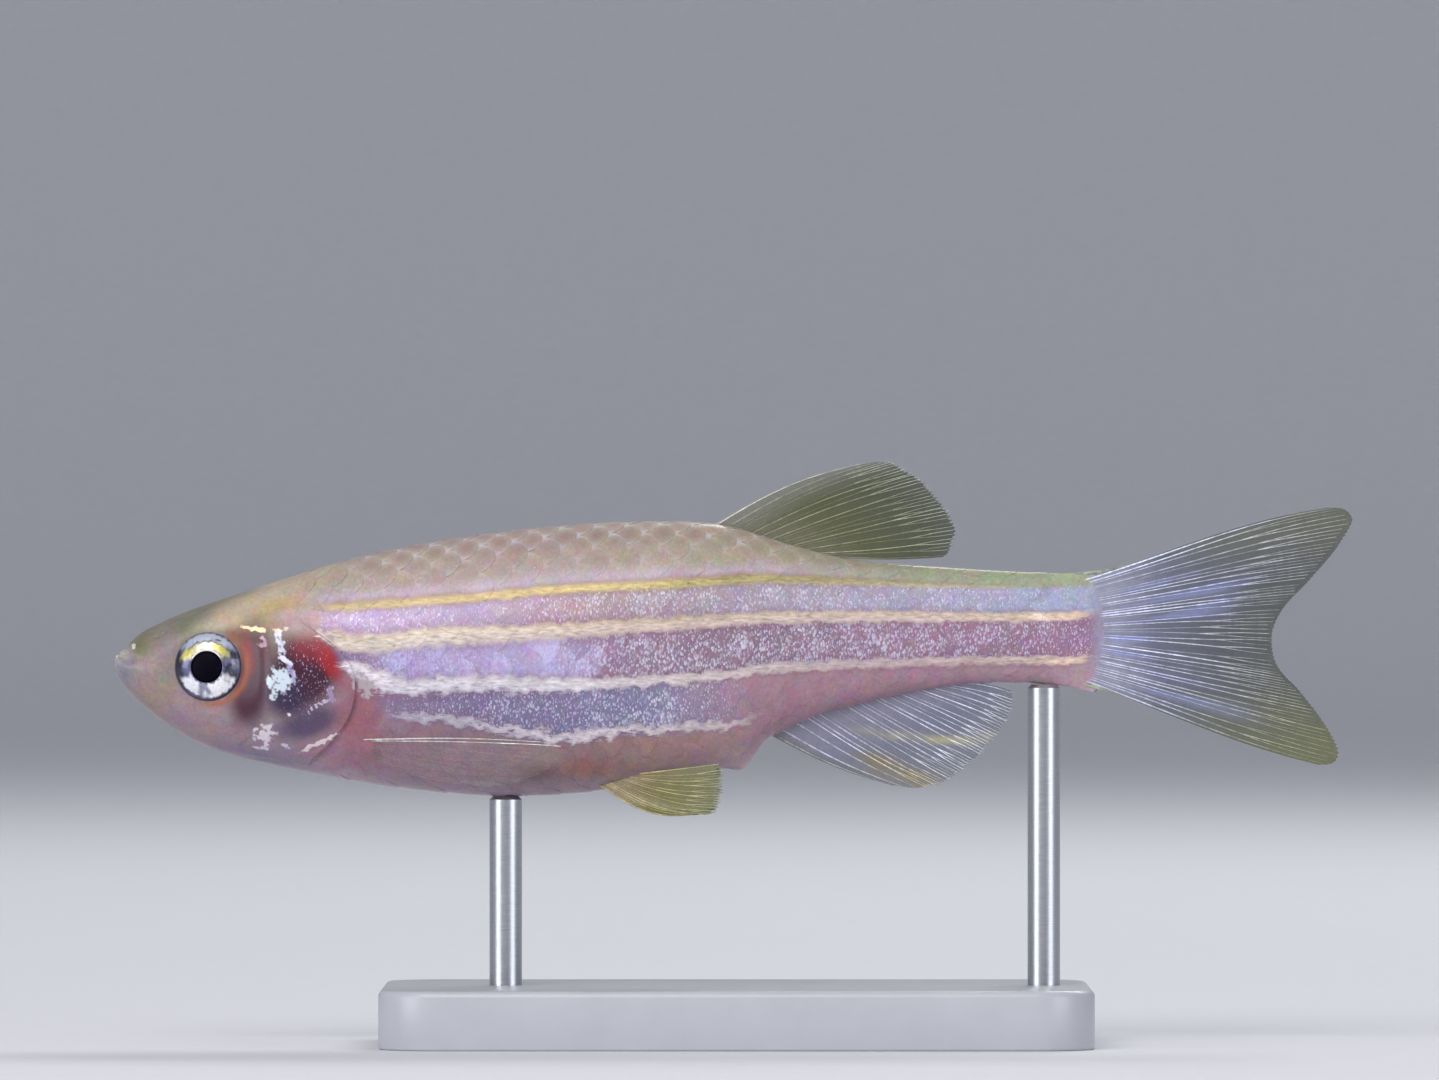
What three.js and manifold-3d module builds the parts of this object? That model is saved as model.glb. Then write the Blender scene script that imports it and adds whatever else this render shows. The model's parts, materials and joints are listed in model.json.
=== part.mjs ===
// A zebra danio at life size, held level on a small display stand.
// Millimetres, +Z up. The head points to -X and the fish's left side faces -Y.
// Stations run from the tip of the lower jaw towards the tail, and heights from the body's own axis.
import * as THREE from "three";
import { mergeVertices } from "three/addons/utils/BufferGeometryUtils.js";
import Module from "manifold-3d";

const wasm = await Module();
wasm.setup();
const { Manifold, Mesh } = wasm;

// Driving dimensions
const totalLength = 42;
const bodyEnd = 34.2;
const axisHeight = 13;
const gap = 0.25;

// Outline of the body from the side: [station, height]
const backLine = profile([
  [0.4, 0.5],
  [1, 1.01],
  [2.2, 1.61],
  [4.2, 2.3],
  [6.2, 2.95],
  [9, 3.7],
  [12.3, 4.26],
  [15.7, 4.63],
  [19.1, 4.72],
  [20.8, 4.55],
  [22.8, 3.95],
  [24.9, 3.43],
  [27.9, 3.18],
  [31.3, 2.99],
  [32.8, 3.03],
  [bodyEnd, 3.35],
]);
const bellyLine = profile([
  [0, -0.6],
  [0.36, -1.0],
  [1, -1.69],
  [2.2, -2.54],
  [3.5, -3.13],
  [5.6, -3.65],
  [8.3, -4.16],
  [11, -4.5],
  [13.4, -4.63],
  [15.7, -4.52],
  [17.7, -4.23],
  [19.8, -3.83],
  [21.2, -3.45],
  [22, -2.75],
  [23.2, -2.12],
  [24.5, -1.68],
  [27.9, -0.95],
  [29.9, -0.8],
  [32, -0.92],
  [bodyEnd, -1.4],
]);
// Half the body's width, and how high up each section is widest, as a share of its depth
const halfWidth = profile([
  [0, 0.6],
  [0.5, 0.86],
  [1, 1.12],
  [2.2, 1.57],
  [3.2, 1.82],
  [4.2, 1.98],
  [6.2, 2.28],
  [8.3, 2.42],
  [12, 2.55],
  [16, 2.48],
  [19, 2.22],
  [22, 1.72],
  [25, 1.28],
  [28, 0.98],
  [31, 0.76],
  [33, 0.58],
  [bodyEnd, 0.45],
]);
const widestShare = profile([
  [0, 0.5],
  [3.2, 0.53],
  [8, 0.47],
  [14, 0.46],
  [20, 0.5],
  [bodyEnd, 0.52],
]);

// Parts of the head
const upperJaw = { tip: 0.42, height: 0.42, rounding: 0.75, under: -0.5, chin: [0.4, 2.2] };
const lowerJaw = { tip: 0, height: -0.1, rounding: 0.8, end: 4.4, buriedFrom: 1.2, buried: 0.4 };
const palate = { height: 0.2, slope: -0.28 };
const lips = { radius: 0.13, corner: 0.43, spacing: 0.045, lift: 0.05, set: 0.06 };
const eye = { station: 3.23, height: -0.22, offset: 1.24, turn: 0.14, radius: 1.18, depth: 0.8 };
const pupilRadius = 0.54;
const nostril = { station: 1.5, angle: 0.78, brim: [0.26, 0.12, 0.14], pit: [0.16, 0.14, 0.16] };
const nostrilLift = 0.1;
const cover = { thickness: 0.5, rise: 0.09 };
const isthmus = { half: 0.42, length: 20, depth: 6, station: 6, height: -3.5 };
const smallestPiece = 1;

// How the sections are formed
const crowding = 1.35;
const leastWidth = 0.02;
const sectionFullness = 0.9;

// Where the body is parted
const ventStation = 21.9;
const hypuralStation = 33.1;
const hypuralBulge = 0.5;
const vent = { station: 21.25, height: -3.15, radii: [0.5, 0.42, 0.48] };

// Fins: a membrane this thick from the root to near the tips, with rays raised on both faces
const finRootThickness = 0.5;
const finTipThickness = 0.24;
const thinningFrom = 0.55;
const rayRise = 0.12;
const rayVariation = { shift: 0.35, rise: 0.4, reach: 0.006 };
const rayFlattening = 0.6;
const valleyReach = 0.985;
const fleshyShare = 0.25;

// The display stand
const stand = {
  length: 24,
  width: 15,
  thickness: 2,
  corner: 2,
  rodRadius: 0.55,
  rodSides: 20,
  holeFloor: 0.8,
  rods: { front: 13.2, rear: 31.4 },
};

const toSide = (station, y, height) =>
  new THREE.Vector3(station - totalLength / 2, y, axisHeight + height);

// A smooth line through a few [station, value] points
function profile(points) {
  const last = points.length - 1;
  const slope = points.map((point, i) => {
    const before = points[Math.max(i - 1, 0)];
    const after = points[Math.min(i + 1, last)];
    return (after[1] - before[1]) / (after[0] - before[0]);
  });
  return (station) => {
    const s = Math.min(Math.max(station, points[0][0]), points[last][0]);
    let i = 0;
    while (i < last - 1 && s > points[i + 1][0]) i += 1;
    const width = points[i + 1][0] - points[i][0];
    const t = (s - points[i][0]) / width;
    const rise = points[i + 1][1] - points[i][1];
    const bend0 = slope[i] * width - rise;
    const bend1 = rise - slope[i + 1] * width;
    return points[i][1] + t * rise + t * (1 - t) * ((1 - t) * bend0 + t * bend1);
  };
}

// A three.js geometry, in part coordinates, as a solid for joining and cutting
function solid(geometry) {
  const plain = geometry.index ? geometry.toNonIndexed() : geometry.clone();
  plain.deleteAttribute("normal");
  plain.deleteAttribute("uv");
  const merged = mergeVertices(plain, 1e-4);
  const vertProperties = merged.attributes.position.array;
  const triVerts = new Uint32Array(merged.index.array);
  const made = new Manifold(new Mesh({ numProp: 3, vertProperties, triVerts }));
  if (made.volume() > 0) return made;
  for (let i = 0; i < triVerts.length; i += 3) {
    [triVerts[i + 1], triVerts[i + 2]] = [triVerts[i + 2], triVerts[i + 1]];
  }
  return new Manifold(new Mesh({ numProp: 3, vertProperties, triVerts }));
}

// The largest closed surface of a solid
function largest(shape) {
  const pieces = shape.decompose();
  return pieces.reduce((best, piece) => (piece.volume() > best.volume() ? piece : best));
}

const joined = (shapes) => shapes.reduce((all, shape) => all.add(shape));

// A round-ended form whose sections across the fish are given by section(station, angle),
// with its rings crowded towards the front
function loft(front, rear, rings, sides, section) {
  const ball = new THREE.SphereGeometry(1, sides, rings);
  const place = ball.attributes.position;
  const point = new THREE.Vector3();
  for (let i = 0; i < place.count; i += 1) {
    point.fromBufferAttribute(place, i);
    const along = Math.acos(THREE.MathUtils.clamp(point.y, -1, 1)) / Math.PI;
    const radius = Math.hypot(point.x, point.z);
    const angle = Math.atan2(point.x, point.z);
    const station = front + (rear - front) * along ** crowding;
    point.copy(section(station, radius < 1e-6 ? null : angle));
    place.setXYZ(i, point.x, point.y, point.z);
  }
  return solid(ball);
}

// How far a section has opened at a station behind a rounded tip
function opening(station, tip, rounding) {
  const share = THREE.MathUtils.clamp((station - tip) / rounding, 0, 1);
  return Math.sqrt(1 - (1 - share) ** 2);
}

// A section of the body. The angle is 0 on the back and half a turn on the belly
function bodySection(station, angle, spare = 0) {
  const { lerp, smoothstep } = THREE.MathUtils;
  const open = opening(station, upperJaw.tip, upperJaw.rounding);
  const under = lerp(upperJaw.under, bellyLine(station), smoothstep(station, ...upperJaw.chin));
  const top = lerp(upperJaw.height, backLine(station) + spare, open);
  const bottom = lerp(upperJaw.height, under - spare, open);
  const level = bottom + (top - bottom) * widestShare(station);
  if (angle === null) return toSide(station, 0, level);
  const c = Math.cos(angle);
  const n = Math.sin(angle);
  const height = c > 0 ? level + (top - level) * c : level + (level - bottom) * c;
  const wide = Math.max((halfWidth(station) + spare) * open, leastWidth);
  return toSide(station, wide * Math.sign(n) * Math.abs(n) ** sectionFullness, height);
}

// The point of a section's skin, on the +Y side, at a height above the axis
function skinAt(section, station, height) {
  let over = 0;
  let below = Math.PI;
  for (let i = 0; i < 24; i += 1) {
    const middle = (over + below) / 2;
    if (section(station, middle).z - axisHeight > height) over = middle;
    else below = middle;
  }
  return section(station, over);
}

// How low the belly's skin is at a distance from the middle
function bellySkin(station, away) {
  let inner = Math.PI;
  let outer = Math.PI / 2;
  for (let i = 0; i < 24; i += 1) {
    const middle = (inner + outer) / 2;
    if (bodySection(station, middle).y < away) inner = middle;
    else outer = middle;
  }
  return bodySection(station, inner).z - axisHeight;
}

// A section of the lower jaw, which closes under and in front of the upper one
function jawSection(station, angle) {
  const { lerp, smoothstep } = THREE.MathUtils;
  const open = opening(station, lowerJaw.tip, lowerJaw.rounding);
  const top = lerp(lowerJaw.height, palate.height + palate.slope * station, open);
  const bottom = lerp(lowerJaw.height, bellyLine(station), open);
  const level = (top + bottom) / 2;
  if (angle === null) return toSide(station, 0, level);
  const c = Math.cos(angle);
  const n = Math.sin(angle);
  const shrunk = 1 - lowerJaw.buried * smoothstep(station, lowerJaw.buriedFrom, lowerJaw.end);
  const wide = Math.max(halfWidth(station) * open * shrunk, leastWidth);
  return toSide(station, wide * n, level + ((top - bottom) / 2) * c * shrunk);
}

// A wall through the whole fish, drawn from the side as a closed line of [station, height] points
function prism(points) {
  const shape = new THREE.Shape(points.map(([s, h]) => new THREE.Vector2(s, h)));
  const depth = 12;
  const wall = new THREE.ExtrudeGeometry(shape, { depth, bevelEnabled: false });
  wall.translate(-totalLength / 2, axisHeight, -depth / 2);
  const upright = new THREE.Matrix4().set(1, 0, 0, 0, 0, 0, 1, 0, 0, 1, 0, 0, 0, 0, 0, 1);
  return solid(wall.applyMatrix4(upright));
}

// A smooth curve through [station, height] points, read by its share of length
function line(points, closed = false) {
  const knots = points.map(([s, h]) => new THREE.Vector3(s, h, 0));
  const curve = new THREE.CatmullRomCurve3(knots, closed);
  return (share) => curve.getPointAt(THREE.MathUtils.clamp(share, 0, 1));
}

// Evenly spaced points of such a curve
function smooth(points, count, closed = false) {
  const curve = line(points, closed);
  const steps = closed ? count - 1 : count;
  return Array.from({ length: steps + 1 }, (_, i) => {
    const point = curve(i / count);
    return [point.x, point.y];
  });
}

// An open line moved to its left by a margin, as seen going along it
function shifted(points, margin) {
  return points.map(([s, h], i) => {
    const [s0, h0] = points[Math.max(i - 1, 0)];
    const [s1, h1] = points[Math.min(i + 1, points.length - 1)];
    const normal = new THREE.Vector2(h0 - h1, s1 - s0).normalize();
    return [s + normal.x * margin, h + normal.y * margin];
  });
}

function tube(points, radius, steps, sides = 6) {
  const circle = new THREE.Shape().absarc(0, 0, radius, 0, Math.PI * 2);
  const extrudePath = new THREE.CatmullRomCurve3(points);
  const shape = new THREE.Shape(circle.getSpacedPoints(sides).slice(0, sides));
  return solid(new THREE.ExtrudeGeometry(shape, { steps, extrudePath, bevelEnabled: false }));
}

function ellipsoid(centre, radii, segments = 12) {
  const ball = new THREE.SphereGeometry(1, segments, Math.round(segments * 0.6));
  ball.scale(...radii);
  ball.translate(centre.x, centre.y, centre.z);
  return solid(ball);
}

// A closed thin blade: each face is one PlaneGeometry grid, split alike, with a rim between them.
// place(across, along, side) gives a point of the face on that side
function blade(columns, rows, place) {
  const grid = new THREE.PlaneGeometry(1, 1, columns, rows);
  const count = (columns + 1) * (rows + 1);
  const position = new Float32Array(count * 6);
  const uv = grid.attributes.uv;
  for (let i = 0; i < count; i += 1) {
    for (const [offset, side] of [[0, 1], [count, -1]]) {
      place(uv.getX(i), 1 - uv.getY(i), side).toArray(position, (i + offset) * 3);
    }
  }
  const index = [...grid.index.array];
  const faces = index.length;
  for (let i = 0; i < faces; i += 3) {
    index.push(index[i] + count, index[i + 2] + count, index[i + 1] + count);
  }
  const at = (column, row) => row * (columns + 1) + column;
  const rim = [];
  for (let c = 0; c < columns; c += 1) rim.push(at(c, 0));
  for (let r = 0; r < rows; r += 1) rim.push(at(columns, r));
  for (let c = columns; c > 0; c -= 1) rim.push(at(c, rows));
  for (let r = rows; r > 0; r -= 1) rim.push(at(0, r));
  rim.forEach((p, i) => {
    const q = rim[(i + 1) % rim.length];
    index.push(p, q, q + count, p, q + count, p + count);
  });
  const geometry = new THREE.BufferGeometry();
  geometry.setAttribute("position", new THREE.BufferAttribute(position, 3));
  geometry.setIndex(index);
  return solid(geometry);
}

// A fin of rays that fan from its root line to its margin, both [station, height] lines.
// Every ray has a share of the margin, a rise and a reach of its own, drawn from the seed
function fin({ rays, rows, root, margin, bow, spread, seed, rootHalf = () => 0 }) {
  const draw = (n) => THREE.MathUtils.seededRandom(seed + n) - 0.5;
  const own = Array.from({ length: rays }, (_, i) => {
    const inner = i > 0 && i < rays - 1;
    return {
      shift: inner ? (rayVariation.shift * draw(1)) / (rays - 1) : 0,
      rise: rayRise * (1 + rayVariation.rise * draw(2)),
      reach: inner ? 1 - rayVariation.reach * (1 + draw(3)) : 1,
    };
  });
  const valley = { rise: 0, reach: valleyReach };
  const rootCurve = line(root);
  const marginCurve = line(margin);
  const columns = (rays - 1) * 2;
  return blade(columns, rows, (across, along, side) => {
    const column = Math.round(across * columns);
    const ray = column % 2 ? valley : own[column / 2];
    const shift = ray.shift ?? (own[(column - 1) / 2].shift + own[(column + 1) / 2].shift) / 2;
    const from = rootCurve(across + shift / 2);
    const to = marginCurve(across + shift);
    const out = along * (1 + (ray.reach - 1) * along);
    const station = from.x + (to.x - from.x) * out;
    const height = from.y + (to.y - from.y) * out + bow(across) * Math.sin(Math.PI * along);
    const thinning = THREE.MathUtils.smoothstep(along, thinningFrom, 1);
    const half = THREE.MathUtils.lerp(finRootThickness, finTipThickness, thinning) / 2;
    const fleshy = rootHalf(across) * Math.max(0, 1 - along / fleshyShare);
    const thick = Math.max(half, fleshy) + ray.rise * (1 - rayFlattening * along);
    return toSide(station, spread(across, along) + side * thick, height);
  });
}

// All that lies behind, or before, an edge
const farRear = 40;
const farFront = -9;
const closedAt = (station, edge) => [...edge, [station, edge.at(-1)[1]], [station, edge[0][1]]];
const behind = (edge) => closedAt(farRear, edge);
const before = (edge) => closedAt(farFront, edge);

// Head, jaw, gill covers, trunk and tail stalk, parted from one body by thin walls
const gillEdge = smooth(
  [
    [4.9, 5.2],
    [5.3, 2.6],
    [6.2, 1.42],
    [7.25, 0.66],
    [7.95, -0.1],
    [8.15, -0.95],
    [7.95, -1.9],
    [7.3, -2.8],
    [6.6, -3.5],
    [6.25, -5.4],
  ],
  24,
);
const coverEdge = smooth(
  [
    [7.6, 1.1],
    [6.2, 1.08],
    [5.25, 1.0],
    [5.08, 0.5],
    [5.12, -0.6],
    [5.0, -1.7],
    [4.75, -2.5],
    [4.95, -3.15],
    [5.9, -3.45],
    [7.6, -3.6],
  ],
  26,
);
const mouthLine = [
  [-0.7, 0.44],
  [0.1, 0.3],
  [0.62, 0.1],
  [1.1, -0.2],
  [1.4, -0.85],
  [1.85, -1.75],
  [2.35, -2.5],
  [2.8, -3.6],
];
const jawEdge = smooth(mouthLine, 22);
const partingEdge = smooth(
  [
    [ventStation + 3.1, 5.2],
    [ventStation + 2.55, 3.3],
    [ventStation + 1.1, 1.2],
    [ventStation + 0.4, -0.8],
    [ventStation + 0.15, -2.4],
    [ventStation + 0.1, -4.2],
  ],
  12,
);
const hypuralEdge = smooth(
  [
    [hypuralStation - 0.35, 4.4],
    [hypuralStation, 3.2],
    [hypuralStation + hypuralBulge, 2.1],
    [hypuralStation + hypuralBulge + 0.12, 1],
    [hypuralStation + hypuralBulge, -0.1],
    [hypuralStation, -1.25],
    [hypuralStation - 0.35, -2.4],
  ],
  16,
);

const names = { "-1": "left", 1: "right" };
const nodes = new Map();
const sections = { rings: 54, sides: 32, jawRings: 14, jawSides: 20 };
const skin = (spare) =>
  loft(upperJaw.tip, bodyEnd, sections.rings, sections.sides, (s, angle) =>
    bodySection(s, angle, spare),
  );

const jawBall = loft(lowerJaw.tip, lowerJaw.end, sections.jawRings, sections.jawSides, jawSection);
const ventBulge = ellipsoid(toSide(vent.station, 0, vent.height), vent.radii);
const body = joined([skin(0), jawBall, ventBulge]);
const shoulders = body.intersect(prism(behind(shifted(gillEdge, gap))));
const headSide = body.subtract(prism(behind(gillEdge)));
let jaw = headSide.intersect(prism(before(shifted(jawEdge, -gap / 2))));
let head = headSide.subtract(prism(before(shifted(jawEdge, gap / 2))));

// Gill covers stand a little proud of the cheek and end at the gill opening
function keel(half) {
  const bar = new THREE.BoxGeometry(isthmus.length, half * 2, isthmus.depth);
  bar.translate(isthmus.station - totalLength / 2, 0, axisHeight + isthmus.height);
  return solid(bar);
}
const coverPlate = prism(behind(coverEdge))
  .subtract(skin(-cover.thickness))
  .subtract(keel(isthmus.half + gap));
const coverRoom = prism(behind(shifted(coverEdge, -gap)))
  .subtract(skin(-cover.thickness - gap))
  .subtract(keel(isthmus.half));
const covers = skin(cover.rise).intersect(coverPlate).subtract(prism(behind(gillEdge)));
for (const piece of covers.decompose()) {
  if (piece.volume() < smallestPiece) continue;
  const { min } = piece.boundingBox();
  nodes.set(min[1] < 0 ? "gill_cover_left" : "gill_cover_right", piece);
}
head = head.subtract(coverRoom);

// Lips: a low roll along either side of the cleft
function lip(section, shift, front) {
  const cleft = line(mouthLine);
  const left = [];
  for (let i = 0; i <= 4; i += 1) {
    const point = cleft(lips.corner - i * lips.spacing);
    const height = point.y + shift;
    left.push(skinAt(section, Math.max(point.x, front + lips.set), height));
  }
  const right = left.map((p) => new THREE.Vector3(p.x, -p.y, p.z)).reverse();
  const tip = new THREE.Vector3(front - totalLength / 2, 0, left.at(-1).z + lips.lift);
  return tube([...left, tip, ...right], lips.radius, 18);
}
head = head.add(lip(bodySection, gap / 2 + lips.radius, upperJaw.tip));
jaw = jaw.add(lip(jawSection, -gap / 2 - lips.radius, lips.set));

// The eye, turned about its own outward axis: a flattened ball, with the pupil sunk in its face
const ballProfile = [
  [0, -eye.depth],
  [0.62, -0.68],
  [1.0, -0.36],
  [eye.radius, 0],
  [1.12, 0.32],
  [0.92, 0.6],
  [0.66, 0.76],
];
const recess = { radius: pupilRadius + 0.15, floor: 0.1 };
const pupilProfile = [
  [0, 0.32],
  [pupilRadius, 0.32],
  [pupilRadius, 0.76],
  [0.36, 0.86],
  [0, 0.9],
];
// The flesh that rings the eye, and how far out its socket and the pupil's recess are cut
const orbitProfile = [
  [0, -0.2],
  [1.6, -0.15],
  [1.58, 0.2],
  [1.45, 0.46],
  [0, 0.5],
];
const ballFace = 0.76;
const recessTop = 1.2;
const socketTop = 1.4;

function turned(profilePoints, centre, side, segments) {
  const points = profilePoints.map(([r, out]) => new THREE.Vector2(r, out));
  const form = new THREE.LatheGeometry(points, segments);
  if (side < 0) form.rotateX(Math.PI);
  form.rotateZ(side * eye.turn);
  form.translate(centre.x, centre.y, centre.z);
  return solid(form);
}

const bandProfile = (radius, low, high) => [
  [0, low],
  [radius, low],
  [radius, high],
  [0, high],
];

for (const side of [-1, 1]) {
  const centre = toSide(eye.station, side * eye.offset, eye.height);
  const wider = 1 + gap / eye.radius;
  const deeper = 1 + gap / eye.depth;
  const socket = ballProfile.map(([r, out]) => [r * wider, out * deeper]);
  socket.push([0, socketTop]);
  head = head.add(turned(orbitProfile, centre, side, 26));
  head = head.subtract(turned(socket, centre, side, 26));
  const ball = turned([...ballProfile, [0, ballFace]], centre, side, 26);
  const room = turned(bandProfile(recess.radius, recess.floor, recessTop), centre, side, 20);
  nodes.set(`eye_${names[side]}`, ball.subtract(room));
  nodes.set(`pupil_${names[side]}`, turned(pupilProfile, centre, side, 20));

  // Nostrils: a shallow pit with a raised brim, ahead of the eye
  const at = bodySection(nostril.station, side * nostril.angle);
  head = head.add(ellipsoid(at, nostril.brim, 10));
  const pit = bodySection(nostril.station, side * nostril.angle, nostrilLift);
  head = head.subtract(ellipsoid(pit, nostril.pit, 8));
}
nodes.set("head", largest(head));
nodes.set("lower_jaw", largest(jaw));
nodes.set("trunk", largest(shoulders.subtract(prism(behind(partingEdge)))));
const rear = shoulders.intersect(prism(behind(shifted(partingEdge, gap))));
nodes.set("tail_stalk", largest(rear.subtract(prism(behind(hypuralEdge)))));

// Unpaired fins
const flat = () => 0;
const onBack = (s) => [s, backLine(s) + gap];
const onBelly = (s) => [s, bellyLine(s) - gap];
nodes.set(
  "dorsal_fin",
  fin({
    rays: 10,
    rows: 8,
    root: [20.2, 21.2, 22.2, 23.2, 24.0].map(onBack),
    margin: [
      [25.3, 6.66],
      [26.2, 6.72],
      [27.2, 6.2],
      [28.05, 5.3],
      [28.5, 4.4],
      [28.25, 3.5],
    ],
    bow: (across) => 0.32 - 0.42 * across,
    spread: flat,
    seed: 11,
  }),
);
nodes.set(
  "anal_fin",
  fin({
    rays: 14,
    rows: 8,
    root: [22.15, 23.2, 24.4, 25.8, 27.3, 28.4].map(onBelly),
    margin: [
      [26.4, -4.28],
      [27.3, -4.36],
      [28.2, -4.1],
      [29.4, -3.1],
      [30.25, -1.9],
      [30.42, -1.08],
    ],
    bow: (across) => -0.18 + 0.3 * across,
    spread: flat,
    seed: 37,
  }),
);
nodes.set(
  "caudal_fin",
  fin({
    rays: 19,
    rows: 9,
    root: shifted(hypuralEdge, gap).slice(3, 14),
    margin: [
      [41.6, 5.15],
      [41.98, 4.8],
      [41.5, 3.9],
      [40.5, 2.7],
      [39.6, 1.75],
      [39.22, 0.85],
      [39.4, -0.2],
      [40.2, -1.1],
      [41.0, -2.15],
      [41.45, -3.1],
      [41.2, -3.6],
    ],
    bow: (across) => 0.26 * (1 - 2 * across) ** 3 + 0.04,
    spread: flat,
    seed: 53,
    rootHalf: (across) => 0.2 + 0.2 * Math.sin(Math.PI * across),
  }),
);

// Paired fins, one of each on either side
const pectoralRoot = [
  [8.62, -2.66],
  [8.6, -2.98],
  [8.72, -3.34],
];
const pelvicRoot = [
  [16.4, 0.75],
  [17.05, 0.9],
  [17.75, 1.0],
];
for (const side of [-1, 1]) {
  const clear = gap + finRootThickness / 2 + rayRise;
  const rootAway = (across) => {
    const { x, y } = line(pectoralRoot)(across);
    return skinAt(bodySection, x, y).y + clear;
  };
  nodes.set(
    `pectoral_fin_${names[side]}`,
    fin({
      rays: 9,
      rows: 7,
      root: pectoralRoot,
      margin: [
        [15.0, -2.72],
        [15.3, -3.15],
        [14.9, -3.75],
        [13.9, -4.25],
        [12.7, -4.42],
      ],
      bow: (across) => 0.1 - 0.3 * across,
      spread: (across, along) => side * (rootAway(across) + along * (2.5 - 1.35 * across)),
      seed: 71 + side,
    }),
  );
  nodes.set(
    `pelvic_fin_${names[side]}`,
    fin({
      rays: 7,
      rows: 6,
      root: pelvicRoot.map(([s, away]) => [s, bellySkin(s, away) - gap]),
      margin: [
        [19.8, -5.18],
        [20.35, -5.0],
        [20.52, -4.55],
        [20.48, -4.05],
      ],
      bow: (across) => -0.42 * (1 - across),
      spread: (across, along) => side * (0.85 + 0.2 * across + along * (1.4 - 0.45 * across)),
      seed: 89 + side,
    }),
  );
}

// The stand: a flat base with rounded corners and two short rods
function roundedPlate(length, width, radius) {
  const shape = new THREE.Shape();
  const x = length / 2 - radius;
  const y = width / 2 - radius;
  shape.absarc(x, y, radius, 0, Math.PI / 2);
  shape.absarc(-x, y, radius, Math.PI / 2, Math.PI);
  shape.absarc(-x, -y, radius, Math.PI, Math.PI * 1.5);
  shape.absarc(x, -y, radius, Math.PI * 1.5, Math.PI * 2);
  return shape;
}

function uprightBar(radius, station, from, to) {
  const bar = new THREE.CylinderGeometry(radius, radius, to - from, stand.rodSides);
  bar.rotateX(Math.PI / 2);
  bar.translate(station - totalLength / 2, 0, (from + to) / 2);
  return solid(bar);
}

let base = solid(
  new THREE.ExtrudeGeometry(roundedPlate(stand.length, stand.width, stand.corner), {
    depth: stand.thickness,
    bevelEnabled: false,
    curveSegments: 5,
  }),
);
for (const [name, station] of Object.entries(stand.rods)) {
  const top = axisHeight + bellyLine(station) - gap;
  const hole = uprightBar(stand.rodRadius + gap, station, stand.holeFloor, stand.thickness + 1);
  base = base.subtract(hole);
  const foot = stand.holeFloor + gap;
  nodes.set(`stand_rod_${name}`, uprightBar(stand.rodRadius, station, foot, top));
}
nodes.set("stand_base", base);

// Colours of the real surfaces
const looks = {
  skin: { color: 0xb99faa, roughness: 0.35, metalness: 0 },
  head: { color: 0xa59285, roughness: 0.35, metalness: 0 },
  gill: { color: 0x8a5566, roughness: 0.25, metalness: 0.1 },
  iris: { color: 0xd5d6de, roughness: 0.2, metalness: 0.6 },
  pupil: { color: 0x120f18, roughness: 0.1, metalness: 0 },
  membrane: { color: 0x9fa38c, roughness: 0.3, metalness: 0 },
  base: { color: 0xb9bcc2, roughness: 0.35, metalness: 0 },
  rod: { color: 0xc4c6ca, roughness: 0.3, metalness: 1 },
};

function lookOf(name) {
  if (name.startsWith("stand_rod")) return looks.rod;
  if (name.startsWith("stand_")) return looks.base;
  if (name.startsWith("eye")) return looks.iris;
  if (name.startsWith("pupil")) return looks.pupil;
  if (name.startsWith("gill")) return looks.gill;
  if (name.includes("_fin")) return looks.membrane;
  if (name === "head" || name === "lower_jaw") return looks.head;
  return looks.skin;
}

function meshOf(name, shape) {
  const { vertProperties, triVerts, numProp } = shape.getMesh();
  const geometry = new THREE.BufferGeometry();
  geometry.setAttribute("position", new THREE.BufferAttribute(vertProperties, numProp));
  geometry.setIndex(new THREE.BufferAttribute(triVerts, 1));
  geometry.computeVertexNormals();
  const mesh = new THREE.Mesh(geometry, new THREE.MeshStandardMaterial(lookOf(name)));
  mesh.name = name;
  return mesh;
}

const danio = new THREE.Group();
for (const [name, shape] of nodes) danio.add(meshOf(name, shape));

export default danio;
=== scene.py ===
# %% [markdown]
# # A zebra danio on its display stand
# The part is a life-size museum model of a small aquarium fish, 42 mm long.
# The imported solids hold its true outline, and this script dresses them: one skin without seams,
# scales, fins with fine rays, and eyes. The head points to -X and the fish's left side faces -Y.

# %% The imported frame
import json
import math

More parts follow.
